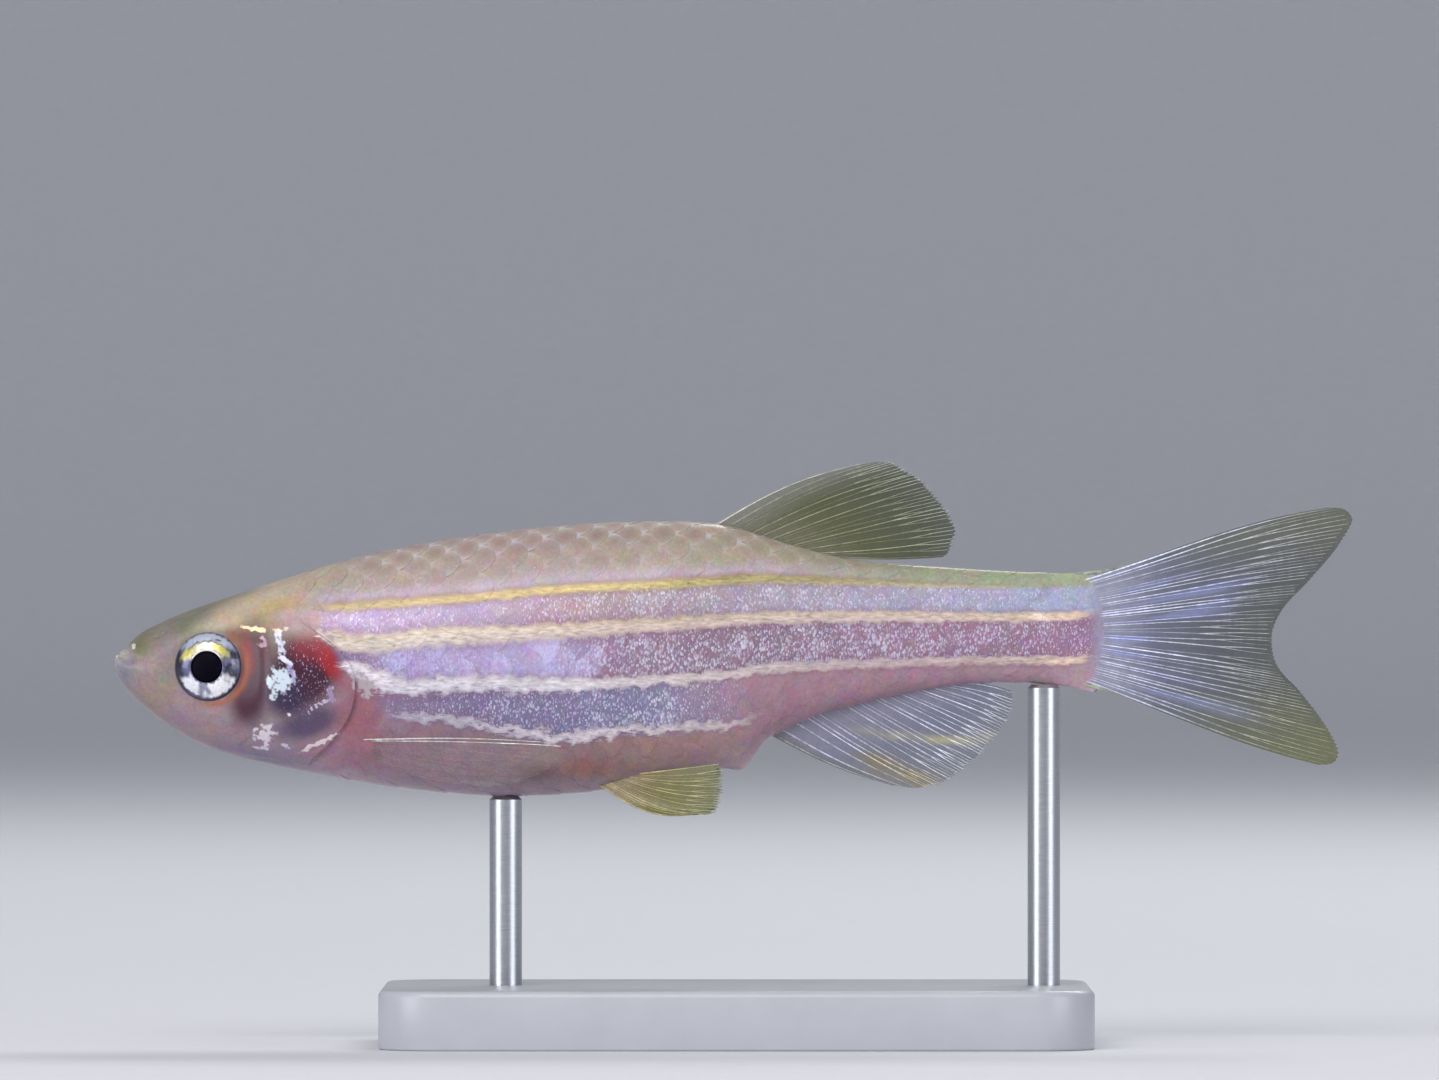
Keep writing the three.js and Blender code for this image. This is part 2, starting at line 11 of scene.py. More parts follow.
import bmesh
import bpy
import numpy as np
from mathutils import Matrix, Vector

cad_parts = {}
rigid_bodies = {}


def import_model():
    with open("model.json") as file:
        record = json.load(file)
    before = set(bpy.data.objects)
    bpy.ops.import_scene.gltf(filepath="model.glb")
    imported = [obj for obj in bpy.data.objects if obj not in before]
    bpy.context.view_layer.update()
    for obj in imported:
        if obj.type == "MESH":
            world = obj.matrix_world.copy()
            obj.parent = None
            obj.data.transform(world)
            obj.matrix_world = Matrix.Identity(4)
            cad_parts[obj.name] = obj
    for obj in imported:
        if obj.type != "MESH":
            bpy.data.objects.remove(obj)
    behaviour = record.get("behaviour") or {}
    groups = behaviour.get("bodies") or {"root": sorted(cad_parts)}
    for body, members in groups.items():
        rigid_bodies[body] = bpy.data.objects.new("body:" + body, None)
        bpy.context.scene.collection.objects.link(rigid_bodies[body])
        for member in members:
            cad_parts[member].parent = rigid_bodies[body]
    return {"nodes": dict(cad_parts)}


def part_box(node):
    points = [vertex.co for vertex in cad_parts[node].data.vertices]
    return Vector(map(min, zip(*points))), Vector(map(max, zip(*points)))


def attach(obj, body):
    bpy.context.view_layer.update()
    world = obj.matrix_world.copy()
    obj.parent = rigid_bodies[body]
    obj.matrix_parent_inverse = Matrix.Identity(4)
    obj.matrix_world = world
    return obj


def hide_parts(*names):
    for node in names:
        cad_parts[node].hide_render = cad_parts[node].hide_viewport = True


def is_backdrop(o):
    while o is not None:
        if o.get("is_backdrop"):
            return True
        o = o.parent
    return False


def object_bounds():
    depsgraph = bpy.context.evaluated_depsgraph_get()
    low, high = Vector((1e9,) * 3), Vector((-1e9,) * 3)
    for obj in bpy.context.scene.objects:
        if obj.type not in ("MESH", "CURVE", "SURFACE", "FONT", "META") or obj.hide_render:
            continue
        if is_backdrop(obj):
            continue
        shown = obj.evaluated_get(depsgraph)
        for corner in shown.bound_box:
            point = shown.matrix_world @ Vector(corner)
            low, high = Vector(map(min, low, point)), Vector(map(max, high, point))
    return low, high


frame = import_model()
cad_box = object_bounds()
print("nodes in the frame:", len(frame["nodes"]))

# %% [markdown]
# ## Units, colours and soft steps
# All forms below are worked out in millimetres: a station from the tip of the lower jaw towards
# the tail, a distance from the fish's middle plane, and a height above its axis. Blender works in
# metres, and its colours are linear, so two short functions do the turning in one place.

# %% Units, colours and soft steps
MM = 0.001
total_length = 42.0
axis_height = 13.0


def ease(value, low, high):
    """0 at low, 1 at high, and a smooth climb between them."""
    share = np.clip((np.asarray(value, float) - low) / (high - low), 0, 1)
    return share * share * (3 - 2 * share)


def blend(first, second, share):
    return first + (second - first) * share


def hump(distance, width):
    """1 at no distance, falling away smoothly over a width."""
    return np.exp(-((distance / width) ** 2))


def linear(code):
    """An sRGB hex colour as linear red, green and blue."""
    parts = np.array([int(code[i : i + 2], 16) for i in (1, 3, 5)]) / 255
    return np.where(parts <= 0.04045, parts / 12.92, ((parts + 0.055) / 1.055) ** 2.4)


def rgba(code):
    return (*linear(code), 1.0)


def level_of(value, stops):
    """A number that runs from one level to the next along a few (value, level) stops."""
    return np.interp(value, [stop[0] for stop in stops], [stop[1] for stop in stops])


def graded(value, stops):
    """Colours that run from one to the next along a few (value, hex) stops."""
    knots = [stop[0] for stop in stops]
    colours = np.array([linear(stop[1]) for stop in stops])
    return np.stack([np.interp(value, knots, colours[:, i]) for i in range(3)], axis=-1)


def over(below, above, share):
    """Lays one colour over another, by a share for each point."""
    return blend(below, above, np.asarray(share)[..., None])


# %% [markdown]
# ## Meshes and their points
# A bmesh operator starts each form, and numpy then moves all of its points at once, which keeps
# a skin of ninety thousand points quick. What a material needs to know at each point, such as
# how far it is from a stripe, is stored in the mesh as a named attribute.

# %% Meshes and their points
def mesh_from(bm, name):
    mesh = bpy.data.meshes.new(name)
    bm.to_mesh(mesh)
    bm.free()
    return mesh


def points_of(mesh):
    found = np.empty(len(mesh.vertices) * 3)
    mesh.vertices.foreach_get("co", found)
    return found.reshape(-1, 3)


def set_metres(mesh, places):
    """Places are in the frame's own axes, in millimetres."""
    mesh.vertices.foreach_set("co", (places * MM).astype(np.float32).ravel())
    mesh.update()


def set_points(mesh, places):
    """Places are (station, distance from the middle, height) in millimetres."""
    set_metres(mesh, places + np.array([-total_length / 2, 0, axis_height]))


def keep(mesh, name, values):
    """Stores a number or a colour for each point."""
    values = np.asarray(values, np.float32)
    if values.ndim == 1:
        layer = mesh.attributes.new(name, "FLOAT", "POINT")
        layer.data.foreach_set("value", values)
    else:
        layer = mesh.attributes.new(name, "FLOAT_COLOR", "POINT")
        layer.data.foreach_set("color", np.c_[values, np.ones(len(values))].astype(np.float32).ravel())


def outward(mesh):
    """Turns every face of a closed mesh outwards."""
    bm = bmesh.new()
    bm.from_mesh(mesh)
    bmesh.ops.recalc_face_normals(bm, faces=bm.faces[:])
    bm.to_mesh(mesh)
    bm.free()


def show(mesh, name, material, stands_for=()):
    """Makes a shown piece of the part from a finished mesh."""
    piece = bpy.data.objects.new(name, mesh)
    bpy.context.scene.collection.objects.link(piece)
    mesh.materials.append(material)
    mesh.shade_smooth()
    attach(piece, "root")
    if stands_for:
        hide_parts(*stands_for)
    mesh.calc_loop_triangles()
    print(f"{name}: {len(mesh.loop_triangles)} triangles")
    return piece


# %% [markdown]
# ## The fish's outline
# A danio is a slim, spindle-shaped fish, deepest before its back fin. Its outline is given by a
# few stations with a height or a width each, and a smooth line runs through them. These are the
# same lines that shaped the solids, so the skin lies just inside them.

# %% The fish's outline
def profile(points):
    """A smooth line through a few (station, value) points."""
    knots, values = np.array(points, float).T
    order = np.arange(len(knots))
    before = np.maximum(order - 1, 0)
    after = np.minimum(order + 1, len(knots) - 1)
    slope = (values[after] - values[before]) / (knots[after] - knots[before])

    def read(station):
        s = np.clip(station, knots[0], knots[-1])
        i = np.clip(np.searchsorted(knots, s, side="right") - 1, 0, len(knots) - 2)
        width = knots[i + 1] - knots[i]
        t = (s - knots[i]) / width
        rise = values[i + 1] - values[i]
        bend0 = slope[i] * width - rise
        bend1 = rise - slope[i + 1] * width
        return values[i] + t * rise + t * (1 - t) * ((1 - t) * bend0 + t * bend1)

    return read


back_line = profile(
    [(0.4, 0.5), (1, 1.01), (2.2, 1.61), (4.2, 2.3), (6.2, 2.95), (9, 3.7), (12.3, 4.26)]
    + [(15.7, 4.63), (19.1, 4.72), (20.8, 4.55), (22.8, 3.95), (24.9, 3.43), (27.9, 3.18)]
    + [(31.3, 2.99), (32.8, 3.03), (34.2, 3.35)]
)
belly_line = profile(
    [(0, -0.6), (0.36, -1), (1, -1.69), (2.2, -2.54), (3.5, -3.13), (5.6, -3.65), (8.3, -4.16)]
    + [(11, -4.5), (13.4, -4.63), (15.7, -4.52), (17.7, -4.23), (19.8, -3.83), (21.2, -3.45)]
    + [(22, -2.75), (23.2, -2.12), (24.5, -1.68), (27.9, -0.95), (29.9, -0.8), (32, -0.92)]
    + [(34.2, -1.4)]
)
half_width = profile(
    [(0, 0.6), (0.5, 0.86), (1, 1.12), (2.2, 1.57), (3.2, 1.82), (4.2, 1.98), (6.2, 2.28)]
    + [(8.3, 2.42), (12, 2.55), (16, 2.48), (19, 2.22), (22, 1.72), (25, 1.28), (28, 0.98)]
    + [(31, 0.76), (33, 0.58), (34.2, 0.45)]
)
widest_share = profile([(0, 0.5), (3.2, 0.53), (8, 0.47), (14, 0.46), (20, 0.5), (34.2, 0.52)])
deepest = max(float(back_line(s) - belly_line(s)) for s in np.arange(8, 22, 0.5))
print(f"deepest part of the body: {deepest:.1f} mm")

# %% [markdown]
# ## The body's surface
# One function gives any point of the surface from its reach along the fish and its angle round
# it, 0 on the back and half a turn on the belly. A danio's mouth is small and turned up: the
# blunt lower jaw juts out past the thin upper lip, and the snout starts above the lip with a
# small notch. So at the front the top and the bottom of each section follow lines of their own.
# At the tail the body thins to a wedge between the fin's rays.

# %% The body's surface
mouth = (0.2, 0.18)
mouth_angle = math.pi / 2
lip_turn = 0.14
mouth_length = 0.78
face_length = 2.0
snout_station = profile(
    [(0, 0.2), (0.06, 0.15), (0.13, 0.17), (0.22, 0.33), (0.3, 0.42), (0.42, 0.49), (0.8, 0.82)]
    + [(1.3, 1.31), (2.0, 2.0)]
)
snout_height = profile(
    [(0, 0.18), (0.06, 0.24), (0.13, 0.33), (0.22, 0.4), (0.3, 0.48), (0.42, 0.62), (0.8, 0.93)]
    + [(1.3, 1.21), (2.0, 1.53)]
)
chin_station = profile(
    [(0, 0.2), (0.05, 0.09), (0.12, 0.03), (0.25, 0.0), (0.4, 0.06), (0.6, 0.22), (0.9, 0.54)]
    + [(1.4, 1.2), (2.0, 2.0)]
)
chin_height = profile(
    [(0, 0.18), (0.05, 0.12), (0.12, 0.02), (0.25, -0.24), (0.4, -0.52), (0.6, -0.86)]
    + [(0.9, -1.24), (1.4, -1.83), (2.0, -2.4)]
)
hypural_bulge, hypural_span = 0.6, (31.3, 33.1)
wedge_span = (30.6, 33.2)


def body(reach, angle, depth=0.0):
    """Points of the surface, a depth inside the outline, as (station, away, height)."""
    reach, angle = np.broadcast_arrays(np.asarray(reach, float), np.asarray(angle, float))
    below = ease(np.abs(angle), mouth_angle - lip_turn, mouth_angle + lip_turn)
    opened = np.sqrt(1 - (1 - np.clip(reach / mouth_length, 0, 1)) ** 2)
    face = reach < face_length
    station = np.where(face, blend(snout_station(reach), chin_station(reach), below), reach)
    station = station + hypural_bulge * np.abs(np.sin(angle)) ** 1.5 * ease(reach, *hypural_span)
    inset = depth * opened
    settle = ease(reach, 1.2, face_length)
    top = np.where(face, blend(snout_height(reach), back_line(station), settle), back_line(station))
    bottom = np.where(face, blend(chin_height(reach), belly_line(station), settle), belly_line(station))
    top, bottom = top - inset, bottom + inset
    level = bottom + (top - bottom) * widest_share(station)
    up, out = np.cos(angle), np.sin(angle)
    height = level + np.where(up > 0, top - level, level - bottom) * up
    wedge = 1 - ease(reach, *wedge_span)
    wide = (half_width(reach) - depth) * opened * wedge
    away = wide * np.sign(out) * np.abs(out) ** 0.9
    return np.stack([station, away, height], axis=-1)


def normals_of(reach, angle, depth=0.0, step=0.02):
    """The direction straight out of the surface at each point."""
    along = body(reach + step, angle, depth) - body(reach - step, angle, depth)
    round_it = body(reach, angle + step, depth) - body(reach, angle - step, depth)
    normal = np.cross(along, round_it)
    return normal / np.maximum(np.linalg.norm(normal, axis=-1, keepdims=True), 1e-9)


# %% [markdown]
# ## Rings of the skin
# The skin is one UV sphere whose poles are the mouth and the root of the tail fin. Its rings are
# closest where the forms are finest, at the lips, the eye and the gill opening. The rings near
# the gill opening are bent to run along its edge, so that the gill cover ends in a clean line
# and not in steps.

# %% Rings of the skin
spans = [(0.6, 0.025), (2.0, 0.05), (4.5, 0.045), (6.7, 0.07), (7.6, 0.022), (8.5, 0.06)]
spans = spans + [(32.0, 0.1), (33.1, 0.06)]
rings = []
for end, spacing in spans:
    start = rings[-1] if rings else 0.0
    count = round((end - start) / spacing)
    rings.extend(start + (end - start) * (i + 1) / count for i in range(count))
rings = np.array(rings)
columns = 200
gill_reach = 7.1
settling_rounds = 14
gill_line = profile(
    [(-5.4, 6.25), (-3.5, 6.6), (-2.8, 7.3), (-1.9, 7.95), (-0.95, 8.15), (-0.1, 7.95)]
    + [(0.66, 7.25), (1.42, 6.2), (2.6, 5.3), (5.2, 4.9)]
)


def gill_station(angle):
    """Where the gill opening crosses each angle of the body."""
    station = np.full(np.shape(angle), gill_reach)
    for _ in range(settling_rounds):
        station = gill_line(body(station, angle)[..., 2])
    return station


def bent(reach, angle):
    """Bends rings near the gill opening so that one of them runs along its edge."""
    shift = np.clip(gill_station(angle) - gill_reach, -1.1, 1.1)
    return reach + shift * ease(reach, 4.7, 6.8) * (1 - ease(reach, 7.5, 9.8))


angles = -math.pi + 2 * math.pi * np.arange(columns) / columns
ring_grid, angle_grid = np.meshgrid(rings, angles, indexing="ij")
reach_grid = bent(ring_grid, angle_grid)
print(f"{len(rings)} rings of {columns} points")

# %% [markdown]
# ## Forms of the head
# The head of a danio is naked skin over thin bones. Its lips, nostrils, cheek plate, gill cover
# and the throat's creases are low, so they can be raised and sunk along the surface's own
# direction. Each form is a smooth hump or groove, at a distance from a short line drawn from the
# side.

# %% Forms of the head
jaw_crease = [(0.72, -0.1), (1.05, -0.4), (1.75, -1.35), (2.3, -2.1), (3.2, -2.7), (4.4, -3.05)]
cheek_edge = [(5.35, 1.0), (5.08, 0.5), (5.12, -0.6), (5.0, -1.7), (4.75, -2.5), (4.3, -2.9)]
cover_seam = [(5.3, -2.0), (6.24, -1.8), (7.1, -1.45), (7.8, -1.15)]
throat_creases = [
    [(4.4, -2.95 - 0.16 * i), (5.6, -3.12 - 0.16 * i), (6.8, -3.0 - 0.2 * i)] for i in range(3)
]
# line, how far it is raised, its width, and how far ahead of the line it lies
head_lines = [
    (jaw_crease, -0.03, 0.08, 0.0),
    (cheek_edge, -0.03, 0.08, 0.0),
    (cheek_edge, 0.012, 0.14, 0.18),
    (cover_seam, -0.035, 0.06, 0.0),
]
head_lines += [(crease, -0.025, 0.05, 0.0) for crease in throat_creases]
lip_angles = (1.2, 1.95)
nostrils = [(1.42, 0.8, 0.07), (1.66, 0.74, 0.1)]


def line_distance(line, station, height):
    """How far points are from a line of short straight pieces."""
    nearest = np.full(np.shape(station), 1e9)
    for (s0, h0), (s1, h1) in zip(line, line[1:]):
        run, rise = s1 - s0, h1 - h0
        share = ((station - s0) * run + (height - h0) * rise) / (run * run + rise * rise)
        share = np.clip(share, 0, 1)
        gap = np.hypot(station - s0 - run * share, height - h0 - rise * share)
        nearest = np.minimum(nearest, gap)
    return nearest


def head_relief(reach, angle, place):
    """How far the skin is raised, or sunk, at each point."""
    station, height = place[..., 0], place[..., 2]
    side = np.abs(angle)
    near_mouth = ease(reach, 0.02, 0.1) * (1 - ease(reach, 0.62, 0.85))
    rise = -0.05 * hump(side - mouth_angle, 0.06) * near_mouth
    for lip_angle in lip_angles:
        rise = rise + 0.03 * hump(side - lip_angle, 0.18) * near_mouth
    for line, move, width, ahead in head_lines:
        rise = rise + move * hump(line_distance(line, station + ahead, height), width)
    for at, turn, size in nostrils:
        off = np.hypot(station - at, (side - turn) * 1.25)
        rise = rise + 0.02 * hump(off - size * 1.35, 0.07) - 0.09 * hump(off, size * 0.8)
    return rise


cover_rise, slot_depth, cover_tuck = 0.05, 0.07, 0.07


def gill_flap(ring, angle):
    """Rise of the gill cover above the body, and how far its edge is tucked under."""
    side = np.abs(angle)
    strength = ease(side, 0.95, 1.4) * (1 - ease(side, 2.5, 2.85))
    cover = ease(ring, 5.2, 6.4) * (1 - ease(ring, gill_reach - 0.02, gill_reach + 0.08))
    slot = ease(ring, gill_reach, gill_reach + 0.08) * (1 - ease(ring, 7.2, 7.9))
    tuck = -cover_tuck * hump(ring - gill_reach - 0.07, 0.04)
    return strength * (cover_rise * cover - slot_depth * slot), strength * tuck


skin_depth = 0.05
skin_grid = body(reach_grid, angle_grid, skin_depth)
normal_grid = normals_of(reach_grid, angle_grid, skin_depth)
flap, tuck = gill_flap(ring_grid, angle_grid)
raised = head_relief(reach_grid, angle_grid, skin_grid) + flap
skin_grid = skin_grid + normal_grid * raised[..., None]
skin_grid[..., 0] += tuck
print(f"forms stand up to {raised.max():.2f} mm out and {-raised.min():.2f} mm in")

# %% [markdown]
# ## Eye sockets, fin lobes and the vent
# The eye of a danio fills a round socket with a soft fleshy rim. The skin rises to the rim and
# runs on level into the side of the eyeball, so that the two meet in a clean circle, and only
# under the eyeball does it drop away.

# %% Eye sockets, fin lobes and the vent
eye = {"station": 3.23, "height": -0.22, "offset": 1.24, "turn": 0.14, "radius": 1.15}
rim_level, rim_span = 0.21, (1.1, 2.2)
socket_level, socket_edge = -0.5, (0.92, 1.05)


def eye_axes(side):
    """Centre of an eye and its outward, rearward and upward directions."""
    centre = np.array([eye["station"], side * eye["offset"], eye["height"]])
    out = np.array([-math.sin(eye["turn"]), side * math.cos(eye["turn"]), 0.0])
    rear = np.array([math.cos(eye["turn"]), side * math.sin(eye["turn"]), 0.0])
    return centre, out, rear, np.array([0.0, 0.0, 1.0])


def sink_eye(places, side):
    centre, out, rear, up = eye_axes(side)
    offset = places - centre
    level = offset @ out
    across, above = offset @ rear, offset @ up
    radius = np.hypot(across, above)
    ours = (radius < 2.3) & (level > -0.3)
    now = blend(level, blend(rim_level, level, 0.4), 1 - ease(radius, *rim_span))
    now = blend(now, socket_level, 1 - ease(radius, *socket_edge))
    moved = places + (now - level)[..., None] * out
    return np.where(ours[..., None], moved, places)


for side in (-1, 1):
    skin_grid = sink_eye(skin_grid, side)

pectoral_base, lobe_rise, lobe_width = (8.6, -3.0), 0.1, 0.4
vent, vent_half_size, vent_rise = 21.25, (0.5, 0.34), 0.3
lobe_distance = np.hypot(skin_grid[..., 0] - pectoral_base[0], skin_grid[..., 2] - pectoral_base[1])
skin_grid += normal_grid * (lobe_rise * hump(lobe_distance, lobe_width))[..., None]
along_vent = (skin_grid[..., 0] - vent) / vent_half_size[0]
vent_distance = np.hypot(along_vent, skin_grid[..., 1] / vent_half_size[1])
under = np.abs(angle_grid) > 2.0
skin_grid[..., 2] -= vent_rise * hump(vent_distance, 1.0) * under

# %% [markdown]
# ## The skin's mesh
# The sphere comes from one operator. Each of its points is then told its ring and its column and
# takes its place from the grid worked out above, and the two poles close the mouth and the tail.

# %% The skin's mesh
bm = bmesh.new()
bmesh.ops.create_uvsphere(bm, u_segments=columns, v_segments=len(rings) + 1, radius=1)
skin_mesh = mesh_from(bm, "skin")
ball = points_of(skin_mesh)
ring_index = np.rint(np.arccos(np.clip(ball[:, 2], -1, 1)) / math.pi * (len(rings) + 1)).astype(int) - 1
turn = np.arctan2(ball[:, 0], ball[:, 1])
column_index = np.rint((turn + math.pi) / (2 * math.pi) * columns).astype(int) % columns
front_pole, rear_pole = ring_index < 0, ring_index >= len(rings)
ring_index = np.clip(ring_index, 0, len(rings) - 1)
skin_places = skin_grid[ring_index, column_index]
skin_places[front_pole] = (mouth[0], 0, mouth[1])
skin_places[rear_pole] = (skin_grid[-1, :, 0].mean(), 0, skin_grid[-1, :, 2].mean())
set_points(skin_mesh, skin_places)
outward(skin_mesh)
skin_angle = angle_grid[ring_index, column_index]
print("skin points:", len(skin_places))

# %% [markdown]
# ## Stripes
# This danio is of the pale golden kind: amber, cream and silver stripes on a pink and lilac
# ground. Each stripe has a middle line and a half width along the fish. What the material gets
# is the height above the middle line, counted in half widths, so that it can draw a ragged edge
# finer than the mesh. Along the middle of the body the silver stripe narrows at every scale.

# %% Stripes
amber_line = profile(
    [(6.9, 1.76), (9.6, 1.93), (12.3, 2.13), (15, 2.39), (17.7, 2.52), (20.4, 2.67), (21.8, 2.74)]
    + [(25.9, 2.6), (28.6, 2.5), (31.3, 2.47), (33, 2.5)]
)
cream_line = profile(
    [(7.3, 0.81), (7.8, 0.61), (9, 0.58), (9.6, 0.61), (10.3, 0.76), (12.3, 0.85), (15, 0.98)]
    + [(17.7, 1.15), (20.4, 1.34), (23.2, 1.46), (28.6, 1.46), (31.3, 1.46), (32.6, 1.52), (33.4, 1.66)]
)
silver_line = profile(
    [(7.8, -0.17), (9.6, -0.85), (11.6, -0.78), (15, -0.81), (17.7, -0.71), (19.1, -0.61)]
    + [(20.4, -0.51), (21.8, -0.27), (23.2, -0.2), (25.9, -0.1), (28.6, -0.03), (31.3, 0)]
    + [(32.6, 0), (33.4, 0.14)]
)
lower_line = profile(
    [(9.6, -1.89), (11, -1.96), (13, -2.3), (14.4, -2.54), (15.4, -2.57), (16.4, -2.44)]
    + [(17.7, -2.33), (19.1, -2.27), (20.4, -2.2), (21.1, -2.1), (21.9, -1.75)]
)
scale_length = 1.1
far_off = 9.0


# the middle line of each stripe and its half widths along the fish
stripes = {
    "amber": (amber_line, [(6.6, 0.06), (7.4, 0.14), (22, 0.14), (27, 0.08), (33, 0.05)]),
    "cream": (
        cream_line,
        [(6.8, 0.08), (7.6, 0.3), (10, 0.3), (17, 0.23), (23, 0.18), (31, 0.15), (33.2, 0.13)],
    ),
    "silver": (
        silver_line,
        [(7.6, 0.1), (8.5, 0.34), (11, 0.26), (18, 0.2), (22, 0.16), (30, 0.14), (33.2, 0.13)],
    ),
    "lower": (lower_line, [(9.2, 0.06), (9.9, 0.12), (15, 0.16), (21, 0.13), (22, 0.06)]),
}
narrow_from = 16.9


def stripe_values(station, height):
    """For each stripe, the height above its middle in half widths, held to within far_off."""
    beat = 0.5 + 0.5 * np.cos(2 * math.pi * (station - narrow_from) / scale_length)
    breaks = 0.4 * ease(station, 15.2, 16.2) * (1 - ease(station, 20.5, 22)) * ease(1 - beat, 0.6, 0.95)
    found = {}
    for name, (line, widths) in stripes.items():
        half = level_of(station, widths)
        if name == "silver":
            half = half * (1 - breaks)
        found[name] = np.clip((height - line(station)) / half, -far_off, far_off)
    return found


# %% [markdown]
# ## Ground colours of the body
# Between the stripes the ground changes from band to band and from head to tail. A few named
# colours along the fish, laid over one another by height, give it. The small shining dots are
# crystals in the skin, and how thickly they stand is worked out the same way.

# %% Ground colours of the body
back_colours = [(5, "#a69680"), (8, "#a79689"), (14, "#a4918a"), (21, "#a09480")]
back_colours += [(28, "#92947a"), (33, "#98a282")]
first_colours = [(7, "#b79bbb"), (12, "#ab93b2"), (15.5, "#a6858a"), (17.5, "#a08890")]
first_colours += [(21, "#a08f9d"), (28, "#9c96ac"), (33, "#9ba1bb")]
second_colours = [(8, "#8d80a6"), (11, "#a491b8"), (14.5, "#b09fc3"), (16.5, "#8f7288"), (22, "#886c7f")]
second_colours += [(28, "#947184"), (33, "#8f6c86")]
third_colours = [(8, "#93707f"), (9.5, "#7e6d87"), (12, "#766786"), (18, "#7a7696"), (20, "#927d93")]
third_colours += [(21.5, "#a17b87"), (28, "#a5808c"), (33, "#a38691")]
belly_colours = [(6, "#9a7482"), (9, "#8f6f7c"), (13, "#866f78"), (17, "#8f7270")]
belly_colours += [(20, "#9e7d7e"), (22, "#9f8088")]
body_end = 21.9
tail_root_span = (32.8, 33.4)
# colour, centre, half size and strength
belly_patches = [
    ("#93594a", (15.9, -3.6), (0.9, 0.35), 0.6),
    ("#4c3a3c", (14.3, -3.8), (0.7, 0.3), 0.6),
    ("#b9a4a8", (21.15, -3.55), (0.55, 0.4), 0.7),
]


def ground_colour(station, height):
    colour = graded(station, back_colours)
    above_amber = hump(height - amber_line(station) - 0.32, 0.24) * (1 - ease(station, 20, 28))
    colour = over(colour, linear("#b39fae"), 0.8 * above_amber)
    bands = ((amber_line, first_colours), (cream_line, second_colours), (silver_line, third_colours))
    for line, stops in bands:
        colour = over(colour, graded(station, stops), 1 - ease(height - line(station), -0.1, 0.1))
    lowest = 1 - ease(height - lower_line(np.minimum(station, body_end)), -0.3, 0.0)
    colour = over(colour, graded(station, belly_colours), lowest * (1 - ease(station, 20.5, 22.5)))
    for code, at, half, strength in belly_patches:
        near = hump(np.hypot((station - at[0]) / half[0], (height - at[1]) / half[1]), 1)
        colour = over(colour, linear(code), strength * near)
    edge = 1 - ease(height - belly_line(station), 0.05, 0.7)
    colour = over(colour, linear("#a8919f"), 0.7 * edge * (1 - ease(station, 20, 22)))
    return over(colour, linear("#8f90a3"), ease(station, *tail_root_span))


def dot_density(station, height):
    """How thickly the shining dots stand, from 0 to 1."""
    first = [(6.3, 0.1), (7.3, 0.8), (14, 0.75), (17, 0.95), (25, 0.85), (30, 0.7), (33, 0.6)]
    second = [(8, 0.75), (14, 0.75), (16.4, 1.0), (29, 1.0), (33, 0.7)]
    third = [(8.5, 0.1), (10, 0.6), (14, 0.9), (19, 0.95), (20.5, 0.6), (21.6, 0.05)]
    density = np.full(np.shape(station), 0.3)
    for line, stops in ((amber_line, first), (cream_line, second), (silver_line, third)):
        density = np.where(height < line(station), level_of(station, stops), density)
    below = (height < lower_line(np.minimum(station, body_end))) & (station < 22.5)
    density = np.where(below, 0.12, density)
    return density * (1 - ease(station, *tail_root_span))


def keep_markings(mesh, station, height, colour, foil_and_highlight, foil_and_highlight_tint):
    """Stores all that the markings need at each point of a mesh."""
    keep(mesh, "ground", colour)
    keep(mesh, "foil_and_highlight", foil_and_highlight)
    keep(mesh, "foil_and_highlight_tint", foil_and_highlight_tint)
    on_head = station < gill_line(height)
    gills = patch(station, height, (6.4, -0.6), (1.0, 1.4), 0.5)
    keep(mesh, "dots", np.where(on_head, 0.5 * gills, dot_density(station, height)))
    white = 0.35 + 0.35 * ease(station, 14.5, 18.5) * (1 - 0.6 * ease(station, 21, 26))
    keep(mesh, "dot_white", np.where(on_head, 0.0, white))
    for name, value in stripe_values(station, height).items():
        keep(mesh, name, value)


# %% [markdown]
# ## Painting the head
# The head has no scales, and its colours are patches rather than stripes: olive and nearly clear
# over the brow, a pink cheek, an orange crescent behind the eye, and dark red gills that show
# through their cover. They are laid on one after another as soft ellipses. Silver foil lies on
# the cheek and throat in small torn flakes, and some of the flakes are painted highlights, glints
# of light laid in as foil; the mesh only holds how near a flake is, and the material tears its edge.

# %% Painting the head
def wander(station, height, size, seed):
    """Smooth noise from about -1 to 1, made of a few waves of a size in random directions."""
    draw = np.random.default_rng(seed)
    total = np.zeros(np.shape(station))
    for _ in range(9):
        turn, phase = draw.uniform(0, 2 * math.pi, 2)
        wave = 2 * math.pi / (size * draw.uniform(0.6, 1.6))
        total += np.sin(wave * (station * math.cos(turn) + height * math.sin(turn)) + phase)
    return total / 4.5


def patch(station, height, at, half_size, soft=0.35, tilt=0.0):
    """1 inside an ellipse and 0 outside it, with a soft edge."""
    run, rise = station - at[0], height - at[1]
    along = run * math.cos(tilt) + rise * math.sin(tilt)
    across = rise * math.cos(tilt) - run * math.sin(tilt)
    far = np.hypot(along / half_size[0], across / half_size[1])
    return 1 - ease(far, 1 - soft, 1 + soft)


skull_colours = [(-4.2, "#85768a"), (-2.5, "#8c7883"), (-0.5, "#8c7d80")]
skull_colours += [(1.2, "#837b68"), (3, "#968b70")]
